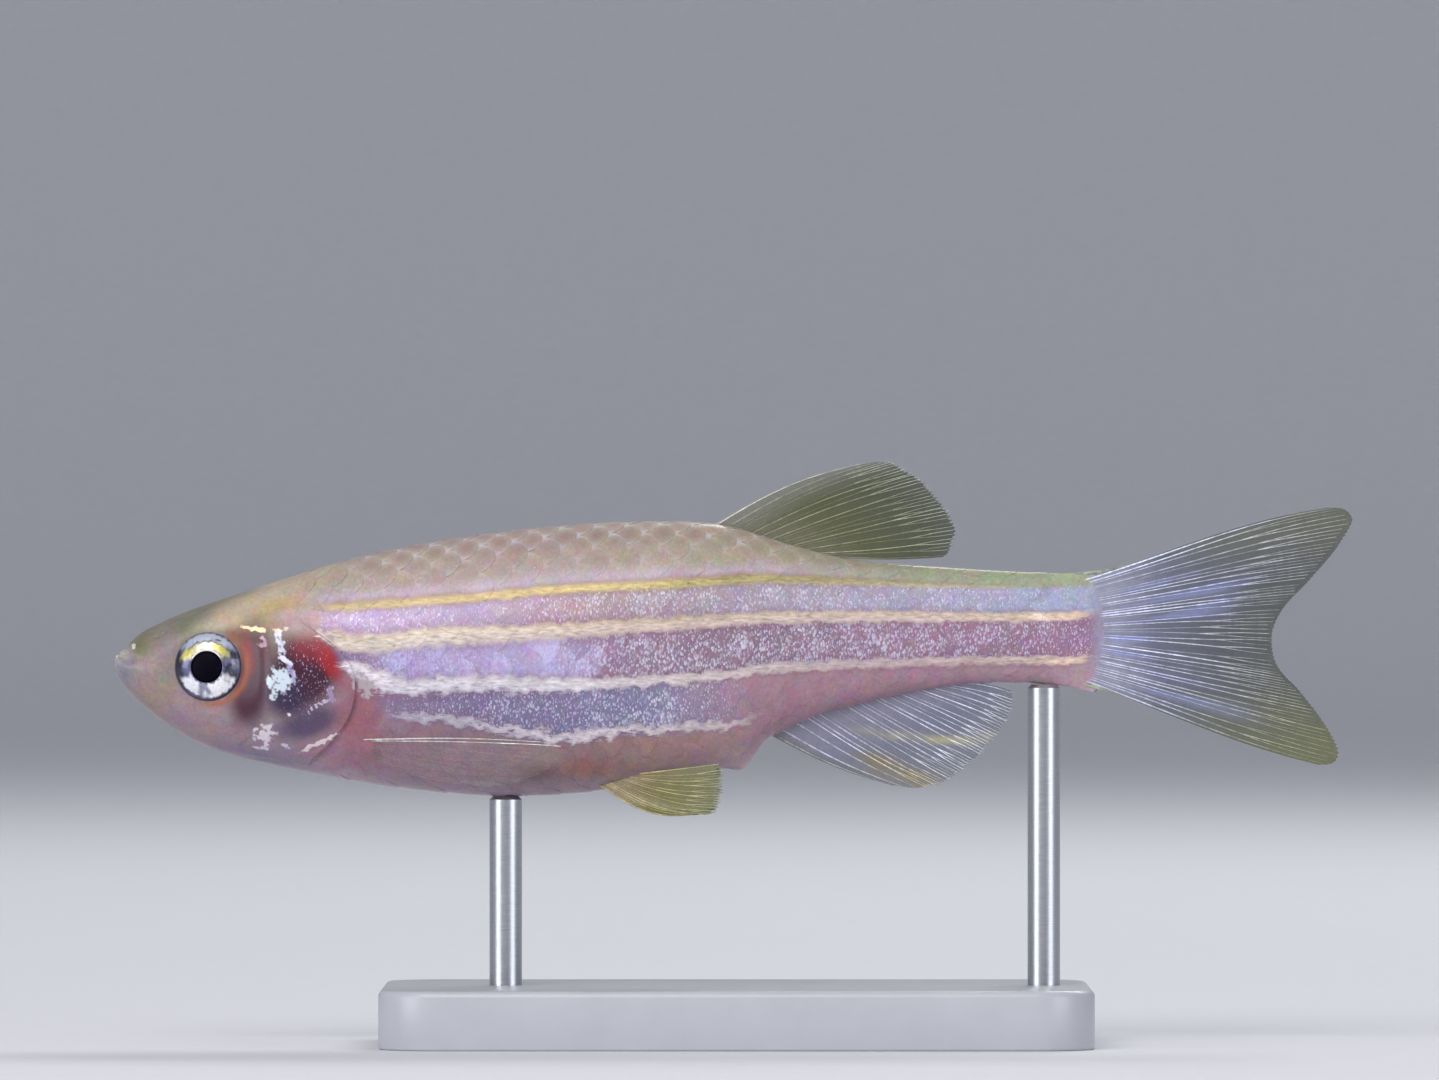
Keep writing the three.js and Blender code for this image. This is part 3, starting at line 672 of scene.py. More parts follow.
# colour, centre, half size, softness, tilt and strength
soft_patches = [
    ("#6f6d5e", (2.1, 1.3), (2.3, 0.6), 0.6, 0.38, 1.0),
    ("#6d6a4c", (0.85, 0.45), (0.45, 0.35), 0.8, 0.0, 0.8),
    ("#84787a", (1.75, 0.1), (0.5, 0.9), 0.8, 0.0, 0.8),
    ("#8c7e68", (1.5, -1.2), (0.6, 0.55), 0.8, 0.4, 0.8),
    ("#917c84", (2.9, -2.2), (1.5, 0.7), 0.8, -0.5, 0.8),
    ("#7d7882", (0.25, -0.3), (0.35, 0.9), 0.8, 0.0, 0.9),
    ("#a8a29c", (0.25, 0.2), (0.3, 0.28), 0.8, 0.0, 0.85),
    ("#b3a48a", (4.4, 1.7), (1.4, 0.4), 0.6, 0.35, 0.9),
    ("#ac945a", (5.7, 1.85), (0.9, 0.32), 0.7, 0.3, 0.7),
    ("#a5775c", (5.4, 1.2), (1.0, 0.12), 0.8, 0.16, 0.6),
    ("#7f4b35", (4.15, 0.85), (0.35, 0.25), 0.7, 0.0, 0.8),
    ("#41202e", (4.75, -0.2), (0.55, 1.3), 0.6, 0.05, 0.95),
    ("#8c2f33", (4.56, 0.12), (0.17, 0.62), 0.8, 0.12, 0.95),
    ("#431c2e", (4.5, -1.3), (0.55, 0.85), 0.6, 0.0, 1.0),
    ("#7c6672", (5.18, -0.8), (0.09, 1.1), 0.8, 0.02, 0.5),
    ("#3a0a25", (6.45, -0.3), (1.15, 1.3), 0.35, -0.35, 1.0),
    ("#9a1622", (7.2, 0.1), (0.3, 0.85), 0.6, 0.55, 0.95),
    ("#7c162b", (6.55, 0.45), (0.55, 0.45), 0.7, -0.3, 0.85),
    ("#2c2040", (5.85, -1.3), (0.65, 0.6), 0.6, 0.0, 0.95),
    ("#4b3c58", (6.6, -2.1), (1.05, 0.5), 0.5, 0.3, 0.9),
    ("#8b5560", (8.3, -1.8), (0.7, 1.3), 0.7, 0.0, 0.8),
    ("#a3897f", (6.4, 1.35), (0.7, 0.5), 0.7, 0.0, 0.8),
    ("#7d7088", (5.2, -3.3), (1.5, 0.35), 0.7, -0.2, 0.8),
    ("#5e3038", (5.0, 0.45), (0.35, 0.5), 0.7, 0.0, 0.7),
]
# colour, centre, half size and tilt
foil_and_highlight_patches = [
    ("#cfdce5", (5.62, -0.72), (0.32, 0.5), -0.3),
    ("#b6b9cc", (5.6, 0.6), (0.12, 0.4), 0.35),
    ("#d8d6e6", (5.78, 0.05), (0.1, 0.3), 0.75),
    ("#a7a0c8", (6.0, -0.4), (0.08, 0.45), 0.3),
    ("#a98d9c", (5.02, 0.6), (0.14, 0.16), 0.0),
    # painted highlights: two thin glints of light along the top of the gill cover
    ("#cdbb96", (4.75, 1.06), (0.4, 0.07), -0.15),
    ("#cbb2a6", (5.55, 1.02), (0.3, 0.07), 0.1),
    # painted highlights, down to the long glint below: white glints of light on the throat and a small
    # white dot
    ("#ddd4de", (5.1, -2.5), (0.3, 0.3), -0.5),
    ("#d3cad8", (5.0, -2.95), (0.35, 0.06), -0.1),
    ("#c9c0d2", (5.78, -2.9), (0.22, 0.07), -0.4),
    ("#f0eaf0", (5.9, -1.84), (0.05, 0.05), 0.0),
    ("#e4d4da", (6.93, -2.79), (0.55, 0.08), 0.42),
    ("#c4b2d0", (6.88, -1.52), (0.5, 0.045), 0.53),
    ("#a08cb4", (7.35, -1.1), (0.08, 0.3), 0.2),
    ("#ad9fa0", (7.1, 0.85), (0.4, 0.12), -0.5),
    ("#aba0a6", (8.42, -0.75), (0.42, 0.28), -0.9),
    ("#e6e6d0", (0.62, 0.47), (0.07, 0.07), 0.0),
]


def painted(station, height):
    """The ground with the patches of the head laid over it. Gives colour, foil with painted highlights
    among it, and its colour.
    """
    colour = ground_colour(station, height)
    before_gills = 1 - ease(station - gill_line(height), -1.2, 0.05)
    colour = over(colour, graded(height, skull_colours), before_gills)
    for code, at, half, soft, tilt, strength in soft_patches:
        colour = over(colour, linear(code), strength * patch(station, height, at, half, soft, tilt))
    around = np.hypot(station - eye["station"], height - eye["height"])
    behind = ease(station - eye["station"] - 0.6 * (height - eye["height"]), -0.2, 0.9)
    colour = over(colour, linear("#9a5634"), 0.75 * behind * hump(around - 1.26, 0.12))
    foil_and_highlight = np.zeros(np.shape(station))
    foil_and_highlight_tint = np.zeros((*np.shape(station), 3)) + linear("#e0dce4")
    # Silver foil, and painted highlights laid in as foil: each point takes the colour of the flake that
    # covers it most.
    for code, at, half, tilt in foil_and_highlight_patches:
        share = patch(station, height, at, half, 0.8, tilt)
        foil_and_highlight_tint = over(foil_and_highlight_tint, linear(code), share > foil_and_highlight)
        foil_and_highlight = np.maximum(foil_and_highlight, share)
    return colour, foil_and_highlight, foil_and_highlight_tint


station, height = skin_places[:, 0], skin_places[:, 2]
colour, foil_and_highlight, foil_and_highlight_tint = painted(station, height)
# Painted shade along the mouth's cleft, a little darker where the lips meet.
painted_cleft_shade = hump(np.abs(skin_angle) - mouth_angle, 0.05) * (1 - ease(station, 0.55, 0.85))
colour = over(colour, linear("#6f6262"), 0.25 * painted_cleft_shade)
keep_markings(skin_mesh, station, height, colour, foil_and_highlight, foil_and_highlight_tint)

# %% [markdown]
# ## Nodes
# A material is a small network. One function adds a node with its settings, its fixed values and
# its links, and everything below is written with it.

# %% Nodes
def add(tree, kind, inputs=None, stops=(), **settings):
    """Adds a node. A node or socket given as an input is linked, and other values are set."""
    node = tree.nodes.new(kind)
    for name, value in settings.items():
        setattr(node, name, value)
    for key, value in (inputs or {}).items():
        if isinstance(value, bpy.types.Node):
            value = next(socket for socket in value.outputs if socket.enabled)
        if isinstance(value, bpy.types.NodeSocket):
            tree.links.new(value, node.inputs[key])
        else:
            node.inputs[key].default_value = value
    for i, (place, code, strength) in enumerate(stops):
        marks = node.color_ramp.elements
        mark = marks[i] if i < 2 else marks.new(place)
        mark.position = place
        mark.color = (*linear(code), strength)
    return node


def new_material(name):
    """An empty material, its tree, and coordinates of the part in millimetres."""
    material = bpy.data.materials.new(name)
    material.use_nodes = True
    tree = material.node_tree
    tree.nodes.clear()
    where = add(tree, "ShaderNodeTexCoord")
    scaled = add(tree, "ShaderNodeMapping", {"Vector": where.outputs["Object"], "Scale": (1 / MM,) * 3})
    return material, tree, scaled


# %% [markdown]
# ## The markings as nodes
# The skin and the scales over it carry the same markings, so one function draws both: the ground
# with a soft mottle, the shining dots as small cells about a tenth of a millimetre apart, and
# then the four stripes with fine streaks and ragged edges. Each stripe changes colour from head
# to tail. The function also gives a mask of all that shines, which sharpens the gloss there.

# %% The markings as nodes
dot_spacing = 0.1
edge_wander = 0.4
# raggedness, blur, colour of the upper side, colour of the border, and colours along the fish
stripe_looks = {
    "amber": (
        (0.3, 0.45, "#a8905c", "#86523a"),
        [(0.158, "#968460", 0), (0.175, "#968460", 1), (0.36, "#a8935f", 1), (0.48, "#b6a874", 1)]
        + [(0.65, "#a8a172", 0.6), (0.75, "#a09c76", 0.2), (0.79, "#a09c76", 0)],
    ),
    "cream": (
        (0.35, 0.35, "#c9b48a", "#7a4a5c"),
        [(0.163, "#c9bdb2", 0), (0.175, "#c9bdb2", 1), (0.3, "#cdbdb4", 1), (0.45, "#d6c0b4", 1)]
        + [(0.65, "#d3bdb3", 1), (0.775, "#dcc2ac", 1), (0.79, "#dcc2ac", 0)],
    ),
    "silver": (
        (0.5, 0.35, "#ccbfba", "#6f4560"),
        [(0.178, "#d0c9d3", 0), (0.19, "#d0c9d3", 1), (0.36, "#dcd3da", 1), (0.47, "#d4c4c1", 0.95)]
        + [(0.6, "#c9b2b2", 0.85), (0.72, "#cbb0aa", 0.95), (0.775, "#dcc2ac", 1), (0.79, "#dcc2ac", 0)],
    ),
    "lower": (
        (1.1, 0.5, "#cac1ca", "#6f4560"),
        [(0.219, "#b5b0c0", 0), (0.235, "#b5b0c0", 0.8), (0.36, "#dccfd6", 0.95), (0.5, "#dac9c6", 0.8)]
        + [(0.525, "#c7b3b4", 0)],
    ),
}


def markings(tree, where, clusters=None):
    """Colour of the markings, a mask of their shining parts, a mask of the foil and its painted
    highlights, and a soft and a fine noise.
    """
    soft = add(tree, "ShaderNodeTexNoise", {"Vector": where, "Scale": 1 / edge_wander, "Detail": 3.0})
    fine = add(tree, "ShaderNodeTexNoise", {"Vector": where, "Scale": 9.0, "Detail": 2.0})
    drawn_out = add(tree, "ShaderNodeMapping", {"Vector": where, "Scale": (3.4, 3.4, 13.0)})
    streaks = add(
        tree, "ShaderNodeTexNoise", {"Vector": drawn_out, "Scale": 1.0, "Detail": 3.0, "Distortion": 0.4}
    )
    spot_at = add(tree, "ShaderNodeSeparateXYZ", {"Vector": where})
    half_way = total_length / 2
    frayed = add(
        tree, "ShaderNodeMath", {0: streaks, 1: 2.0, 2: spot_at.outputs["X"]}, operation="MULTIPLY_ADD"
    )
    down_body = add(
        tree, "ShaderNodeMapRange", {"Value": frayed, "From Min": 1 - half_way, "From Max": 1 + half_way}
    )
    ground = add(tree, "ShaderNodeAttribute", attribute_name="ground")
    light = add(tree, "ShaderNodeMapRange", {"Value": fine, "To Min": 0.75, "To Max": 1.25})
    mottled = add(tree, "ShaderNodeVectorMath", {0: ground, "Scale": light}, operation="SCALE")
    flecks = add(tree, "ShaderNodeTexNoise", {"Vector": where, "Scale": 2.2, "Detail": 3.0})
    hues = add(
        tree,
        "ShaderNodeVectorMath",
        {0: flecks.outputs["Color"], 1: (0.6, 0.6, 0.6), 2: (0.7, 0.7, 0.71)},
        operation="MULTIPLY_ADD",
    )
    varied = add(tree, "ShaderNodeVectorMath", {0: mottled, 1: hues}, operation="MULTIPLY")
    colour = varied

    leaning = add(
        tree, "ShaderNodeMapping", {"Vector": where, "Rotation": (0, 0.3, 0), "Scale": (1.35, 1, 0.75)}
    )
    shaken = add(
        tree,
        "ShaderNodeVectorMath",
        {0: fine.outputs["Color"], 1: (0.12, 0.12, 0.12), 2: leaning},
        operation="MULTIPLY_ADD",
    )
    cells = add(
        tree, "ShaderNodeTexVoronoi", {"Vector": shaken, "Scale": 1 / dot_spacing, "Randomness": 0.9}
    )
    density = add(tree, "ShaderNodeAttribute", attribute_name="dots")
    patchy = add(
        tree,
        "ShaderNodeMapRange",
        {"Value": soft, "From Min": 0.35, "From Max": 0.6, "To Min": 0.36, "To Max": 0.54},
    )
    room = add(tree, "ShaderNodeMath", {0: density.outputs["Fac"], 1: patchy}, operation="MULTIPLY")
    if clusters is not None:
        room = add(tree, "ShaderNodeMath", {0: room, 1: clusters}, operation="MULTIPLY")
    inside = add(tree, "ShaderNodeMath", {0: room, 1: cells}, operation="SUBTRACT")
    dot = add(tree, "ShaderNodeMapRange", {"Value": inside, "From Min": -0.1, "From Max": 0.12})
    luck = add(tree, "ShaderNodeSeparateColor", {"Color": cells.outputs["Color"]})
    strength = add(tree, "ShaderNodeMapRange", {"Value": luck, "To Min": 0.2, "To Max": 0.95})
    lit_dot = add(tree, "ShaderNodeMath", {0: dot, 1: strength}, operation="MULTIPLY")
    whiteness = add(tree, "ShaderNodeAttribute", attribute_name="dot_white")
    dot_colour = add(
        tree,
        "ShaderNodeMix",
        {"Factor": whiteness.outputs["Fac"], "A": rgba("#bdb1de"), "B": rgba("#dcdce4")},
        data_type="RGBA",
    )
    dotted = add(
        tree, "ShaderNodeMix", {"Factor": lit_dot, "A": colour, "B": dot_colour}, data_type="RGBA"
    )
    colour, shine = dotted, lit_dot

    for name, ((ragged, blur, upper, border), colours) in stripe_looks.items():
        level = add(tree, "ShaderNodeAttribute", attribute_name=name)
        wavy = add(
            tree,
            "ShaderNodeMapRange",
            {"Value": soft, "From Min": 0.3, "From Max": 0.7, "To Min": -ragged, "To Max": ragged},
        )
        moved = add(tree, "ShaderNodeMath", {0: level.outputs["Fac"], 1: wavy}, operation="ADD")
        away = add(tree, "ShaderNodeMath", {0: moved}, operation="ABSOLUTE")
        torn = add(
            tree,
            "ShaderNodeMapRange",
            {
                "Value": streaks,
                "From Min": 0.3,
                "From Max": 0.7,
                "To Min": -ragged * 0.7,
                "To Max": ragged * 0.7,
            },
        )
        far = add(tree, "ShaderNodeMath", {0: away, 1: torn}, operation="ADD")
        shadow = add(
            tree, "ShaderNodeMapRange", {"Value": away, "From Min": 2.3, "From Max": 1.2, "To Max": 0.35}
        )
        tint = add(tree, "ShaderNodeValToRGB", {"Fac": down_body}, stops=colours)
        dark = add(tree, "ShaderNodeMath", {0: shadow, 1: tint.outputs["Alpha"]}, operation="MULTIPLY")
        edged = add(
            tree, "ShaderNodeMix", {"Factor": dark, "A": colour, "B": rgba(border)}, data_type="RGBA"
        )
        glow = add(
            tree,
            "ShaderNodeMapRange",
            {"Value": streaks, "From Min": 0.3, "From Max": 0.7, "To Min": 0.66, "To Max": 1.3},
        )
        high_side = add(
            tree, "ShaderNodeMapRange", {"Value": moved, "From Min": 0.1, "From Max": 0.9, "To Max": 0.55}
        )
        warmed = add(
            tree, "ShaderNodeMix", {"Factor": high_side, "A": tint, "B": rgba(upper)}, data_type="RGBA"
        )
        own = add(tree, "ShaderNodeVectorMath", {0: warmed, "Scale": glow}, operation="SCALE")
        stripe = add(
            tree, "ShaderNodeMapRange", {"Value": far, "From Min": 1 + blur, "From Max": 1 - blur}
        )
        shown = add(tree, "ShaderNodeMath", {0: stripe, 1: tint.outputs["Alpha"]}, operation="MULTIPLY")
        laid = add(tree, "ShaderNodeMix", {"Factor": shown, "A": edged, "B": own}, data_type="RGBA")
        lit = add(tree, "ShaderNodeMath", {0: shine, 1: shown}, operation="MAXIMUM")
        colour, shine = laid, lit

    # The foil flakes, silver foil and painted highlights both, laid over the markings with a torn edge.
    near_flake = add(tree, "ShaderNodeAttribute", attribute_name="foil_and_highlight")
    foil_and_highlight_tint = add(tree, "ShaderNodeAttribute", attribute_name="foil_and_highlight_tint")
    tatter = add(tree, "ShaderNodeTexNoise", {"Vector": where, "Scale": 5.0, "Detail": 1.5})
    tear = add(
        tree,
        "ShaderNodeMapRange",
        {"Value": tatter, "From Min": 0.3, "From Max": 0.7, "To Min": -0.55, "To Max": 0.55},
    )
    torn = add(tree, "ShaderNodeMath", {0: near_flake.outputs["Fac"], 1: tear}, operation="ADD")
    flake = add(tree, "ShaderNodeMapRange", {"Value": torn, "From Min": 0.36, "From Max": 0.72})
    real = add(
        tree,
        "ShaderNodeMapRange",
        {"Value": near_flake.outputs["Fac"], "From Min": 0.03, "From Max": 0.2},
    )
    flaked = add(tree, "ShaderNodeMath", {0: flake, 1: real}, operation="MULTIPLY")
    with_foil_and_highlights = add(tree, "ShaderNodeMix", {"Factor": flaked, "A": colour, "B": foil_and_highlight_tint}, data_type="RGBA")
    return with_foil_and_highlights, shine, flaked, soft, fine


# %% [markdown]
# ## Skin material
# Living fish skin is a clear, wet layer over flesh. The flesh takes a little light in and gives
# it back pink, which subsurface scattering does, and the slime coat over it is smooth, which a
# clear coat does. Silver foil on the cheeks, with the highlights painted in as foil, is part metal.

# %% Skin material
skin_material, tree, where = new_material("fish_skin_wet")
pattern, _, flakes, soft, fine = markings(tree, where)
rough = add(tree, "ShaderNodeMapRange", {"Value": soft, "To Min": 0.3, "To Max": 0.5})
# metal where the foil flakes and the painted highlights lie
metal = add(tree, "ShaderNodeMath", {0: flakes, 1: 0.5}, operation="MULTIPLY")
bump = add(tree, "ShaderNodeBump", {"Height": fine, "Strength": 0.3, "Distance": 0.02 * MM})
surface = add(
    tree,
    "ShaderNodeBsdfPrincipled",
    {"Base Color": pattern, "Metallic": metal, "Roughness": rough, "Normal": bump, "IOR": 1.4}
    | {"Subsurface Weight": 0.2, "Subsurface Radius": (1.0, 0.45, 0.4), "Subsurface Scale": 0.2 * MM}
    | {"Coat Weight": 0.2, "Coat Roughness": 0.2, "Coat IOR": 1.34},
)
add(tree, "ShaderNodeOutputMaterial", {"Surface": surface})
flesh_nodes = ["head", "lower_jaw", "trunk", "tail_stalk", "gill_cover_left", "gill_cover_right"]
show(skin_mesh, "skin", skin_material, flesh_nodes)

# %% [markdown]
# ## One scale
# A danio's scales are thin round plates that lie like roof tiles, each with its rear half
# showing. One plate is made from a grid whose corners are pulled in to a round shape, and is
# given its thickness. More than seven hundred of them cover the fish.

# %% One scale
plate_thickness = 0.008
bm = bmesh.new()
bmesh.ops.create_grid(bm, x_segments=9, y_segments=8, size=1)
for vertex in bm.verts:
    p, q = vertex.co.x, vertex.co.y
    vertex.co.x = p * math.sqrt(1 - q * q / 2)
    vertex.co.y = q * math.sqrt(1 - p * p / 2)
bmesh.ops.recalc_face_normals(bm, faces=bm.faces[:])
bmesh.ops.solidify(bm, geom=bm.faces[:], thickness=plate_thickness)
top_level = max(vertex.co.z for vertex in bm.verts)
plate_map = bm.loops.layers.uv.new("OFBake")
for face in bm.faces:
    on_top = face.normal.z > 0.5
    for corner in face.loops:
        along, across = 0.5 + 0.5 * corner.vert.co.x, 0.5 + 0.5 * corner.vert.co.y
        corner[plate_map].uv = (along * 0.8 if on_top else 0.84 + along * 0.1, across * 0.92)
plate_mesh = mesh_from(bm, "plate")
plate = points_of(plate_mesh)
print("triangles in one scale:", sum(len(face.vertices) - 2 for face in plate_mesh.polygons))

# %% [markdown]
# ## Where the scales grow
# Scales stand in rows along the body, each row set half a scale behind its neighbours. Rows are
# counted down from the back, so the middle row of the back is one plate made of two mirrored
# halves. They start behind the head and the gill opening and end at the root of the tail fin.

# %% Where the scales grow
nape_station = 5.9
last_scale_station = 31.7
row_pitch = 1.16
row_limit = 30
tail_shrink = 0.25
belly_gap = 0.12
nape_height = 1.3
behind_gill = 0.45
round_angles = np.linspace(0, math.pi, 241)


def scale_places():
    """Station, arc from the back, size, column, row and girth of every scale on one side."""
    found = []
    column, station = 0, nape_station
    while station < last_scale_station:
        outline = body(station, round_angles)
        steps = np.linalg.norm(np.diff(outline, axis=0)[:, 1:], axis=1)
        arcs = np.concatenate([[0], np.cumsum(steps)])
        size = 1 - tail_shrink * ease(station, 18, 32)
        for row in range(column % 2, row_limit, 2):
            arc = row * row_pitch / 2 * size
            if arc > arcs[-1] - belly_gap:
                break
            height = float(np.interp(arc, arcs, outline[:, 2]))
            start = nape_station
            if height <= nape_height:
                start = max(gill_line(height) + behind_gill, nape_station)
            if station >= start:
                found.append((station, arc, size, column, row, arcs))
        station += scale_length * size / 2
        column += 1
    return found, column


places, column_count = scale_places()
print(f"{len(places)} scales on each side, in {column_count} columns")

# %% [markdown]
# ## Laying the scales
# An Array modifier makes the plates as one mesh, and each plate is then laid on the body: its
# front is sunk under its neighbours and its rear edge stands a little proud. Size, turn and lift
# vary a little from plate to plate, from a seeded draw.

# %% Laying the scales
plate_half_length, plate_half_width = 0.9, 0.66
size_play, turn_play, lift_play = (-0.05, 0.05), (-0.06, 0.06), (-0.003, 0.004)
front_depth, rear_depth = -0.062, -0.018
front_sink, rear_sink = 0.14, 0.05


def copies_of(mesh, count, name):
    """Copies of one small mesh, all in the same place, joined in one mesh."""
    maker = bpy.data.objects.new(name, mesh)
    bpy.context.scene.collection.objects.link(maker)
    array = maker.modifiers.new("copies", "ARRAY")
    array.count = count
    array.use_relative_offset = False
    graph = bpy.context.evaluated_depsgraph_get()
    joined = bpy.data.meshes.new_from_object(maker.evaluated_get(graph))
    bpy.data.objects.remove(maker)
    return joined


def lay_scales(side, name, seed):
    draw = np.random.default_rng(seed)
    count = len(places)
    stations, arcs, sizes, rows = (np.array([spot[i] for spot in places]) for i in (0, 1, 2, 4))
    free = (rows > 0)[:, None]
    grow = (sizes * (1 + (rows > 0) * draw.uniform(*size_play, count)))[:, None]
    lean = free * draw.uniform(*turn_play, count)[:, None]
    lift = free * draw.uniform(*lift_play, count)[:, None]
    x = plate[:, 0] * np.cos(lean) - plate[:, 1] * np.sin(lean)
    y = plate[:, 1] * np.cos(lean) + plate[:, 0] * np.sin(lean)
    reach = stations[:, None] + x * plate_half_length * grow
    angle = np.empty_like(reach)
    for i, spot in enumerate(places):
        girth = spot[5]
        angle[i] = np.interp(arcs[i] + y[i] * plate_half_width * grow[i], girth, round_angles)
    angle = angle * side
    rise = blend(front_depth, rear_depth, 0.5 + 0.5 * plate[:, 0]) + lift
    spots_height = body(reach, angle)[..., 2]
    behind_head = np.maximum(reach - gill_line(spots_height), 0)
    rise = rise - front_sink * (1 - ease(behind_head, 0.5, 1.3)) - rear_sink * ease(reach, 31.4, 32.2)
    rise = rise - plate_thickness * (plate[:, 2] < top_level - plate_thickness / 2)
    spots = (body(reach, angle) + normals_of(reach, angle) * rise[..., None]).reshape(-1, 3)
    mesh = copies_of(plate_mesh, count, name)
    set_points(mesh, spots)
    outward(mesh)
    keep(mesh, "along", np.tile(0.5 + 0.5 * plate[:, 0], count))
    keep(mesh, "across", np.tile(plate[:, 1], count))
    keep(mesh, "own", np.repeat(draw.uniform(0, 1, count), len(plate)))
    return mesh, spots


def map_scales(mesh):
    """Gives each plate its own small patch, at its place on an unwrap of the body."""
    layer = mesh.uv_layers["OFBake"]
    flat = np.empty(len(mesh.loops) * 2)
    layer.data.foreach_get("uv", flat)
    flat = flat.reshape(-1, len(plate_mesh.loops), 2)
    cell = np.array([2 / (column_count + 2), 1 / row_limit])
    corner_at = np.array([[spot[3] * cell[0] / 2, spot[4] * cell[1]] for spot in places])
    layer.data.foreach_set("uv", (corner_at[:, None, :] + flat * cell).ravel())


# %% [markdown]
# ## Scale material
# The scales carry the body's markings. On the back each plate has a brown centre and a pale rim,
# which gives the danio's back its net of spots. On the flank some plates carry a painted lilac
# sheen and others stay dark: the colour stands in for light thrown back by the crystals in each,
# which lie at their own angle. Fine growth rings show as a faint ripple in the gloss.

# %% Scale material
scale_material, tree, where = new_material("fish_scale_clear")
along = add(tree, "ShaderNodeAttribute", attribute_name="along")
across = add(tree, "ShaderNodeAttribute", attribute_name="across")
spotted = add(tree, "ShaderNodeAttribute", attribute_name="spots")
painted_sheen_share = add(tree, "ShaderNodeAttribute", attribute_name="glow")
own = add(tree, "ShaderNodeAttribute", attribute_name="own")
crowding = add(tree, "ShaderNodeMapRange", {"Value": own.outputs["Fac"], "To Min": 0.8, "To Max": 1.15})
pattern, shine, _, _, fine = markings(tree, where, crowding)
tone = add(tree, "ShaderNodeMapRange", {"Value": own.outputs["Fac"], "To Min": 0.95, "To Max": 1.05})
toned = add(tree, "ShaderNodeVectorMath", {0: pattern, "Scale": tone}, operation="SCALE")
# Painted sheen: some plates, picked by their own number, take a lilac reflection into their colour.
chosen = add(
    tree,
    "ShaderNodeMapRange",
    {"Value": own.outputs["Fac"], "From Min": 0.35, "From Max": 0.95, "To Max": 0.6},
)
clouded = add(
    tree, "ShaderNodeMapRange", {"Value": fine, "From Min": 0.35, "From Max": 0.65, "To Min": 0.2}
)
strong = add(tree, "ShaderNodeMath", {0: chosen, 1: clouded}, operation="MULTIPLY")
glow = add(tree, "ShaderNodeMath", {0: strong, 1: painted_sheen_share.outputs["Fac"]}, operation="MULTIPLY")
with_painted_sheen = add(tree, "ShaderNodeMix", {"Factor": glow, "A": toned, "B": rgba("#c3bdec")}, data_type="RGBA")
centred = add(
    tree,
    "ShaderNodeMapRange",
    {"Value": along.outputs["Fac"], "From Min": 0.58, "From Max": 1.0, "To Min": -1.0},
)
sideways = add(tree, "ShaderNodeMath", {0: across.outputs["Fac"], 1: 1.6}, operation="MULTIPLY")
offset = add(tree, "ShaderNodeCombineXYZ", {"X": centred, "Y": sideways})
reach = add(tree, "ShaderNodeVectorMath", {0: offset}, operation="LENGTH")
spot = add(tree, "ShaderNodeMapRange", {"Value": reach, "From Min": 1.15, "From Max": 0.3, "To Max": 0.6})
spot_here = add(tree, "ShaderNodeMath", {0: spot, 1: spotted.outputs["Fac"]}, operation="MULTIPLY")
with_spots = add(
    tree, "ShaderNodeMix", {"Factor": spot_here, "A": with_painted_sheen, "B": rgba("#8a7069")}, data_type="RGBA"
)
rim = add(tree, "ShaderNodeMapRange", {"Value": reach, "From Min": 0.95, "From Max": 1.4, "To Max": 0.6})
rim_here = add(tree, "ShaderNodeMath", {0: rim, 1: spotted.outputs["Fac"]}, operation="MULTIPLY")
edged = add(
    tree, "ShaderNodeMix", {"Factor": rim_here, "A": with_spots, "B": rgba("#cdc6cb")}, data_type="RGBA"
)
rough = add(tree, "ShaderNodeMapRange", {"Value": shine, "To Min": 0.45, "To Max": 0.3})
metal = add(tree, "ShaderNodeMath", {0: shine, 1: 0.2}, operation="MULTIPLY")
rings_here = add(tree, "ShaderNodeMath", {0: along.outputs["Fac"], 1: 90.0}, operation="MULTIPLY")
ripple = add(tree, "ShaderNodeMath", {0: rings_here}, operation="SINE")
relief = add(tree, "ShaderNodeMath", {0: ripple, 1: 0.12, 2: shine}, operation="MULTIPLY_ADD")
bump = add(tree, "ShaderNodeBump", {"Height": relief, "Strength": 0.5, "Distance": 0.008 * MM})
surface = add(
    tree,
    "ShaderNodeBsdfPrincipled",
    {"Base Color": edged, "Metallic": metal, "Roughness": rough, "Normal": bump, "IOR": 1.42}
    | {"Subsurface Weight": 0.15, "Subsurface Radius": (1.0, 0.5, 0.45), "Subsurface Scale": 0.12 * MM}
    | {"Coat Weight": 0.4, "Coat Roughness": 0.15, "Coat IOR": 1.34},
)
add(tree, "ShaderNodeOutputMaterial", {"Surface": surface})

for side, name, seed in ((-1, "scales_left", 21), (1, "scales_right", 22)):
    mesh, spots = lay_scales(side, name, seed)
    map_scales(mesh)
    station, height = spots[:, 0], spots[:, 2]
    colour, foil_and_highlight, foil_and_highlight_tint = painted(station, height)
    keep_markings(mesh, station, height, colour, foil_and_highlight, foil_and_highlight_tint)
    below_edge = back_line(station) - height
    back_share = (1 - 0.65 * ease(below_edge, 0.55, 0.95)) * (1 - 0.8 * ease(station, 19, 26))
    back_share = back_share * ease(station, 6.5, 9.5)
    back_share = back_share * ease(height - amber_line(station), 0.2, 0.6)
    keep(mesh, "spots", back_share)
    # where the painted lilac sheen may lie: between the cream and silver stripes, towards the head
    below_cream = ease(cream_line(station) - height, 0.2, 0.4)
    above_silver = ease(height - silver_line(station), 0.2, 0.4)
    keep(mesh, "glow", below_cream * above_silver * (1 - ease(station, 15, 17.5)))
    show(mesh, name, scale_material)
    mesh.set_sharp_from_angle(angle=math.radians(35))
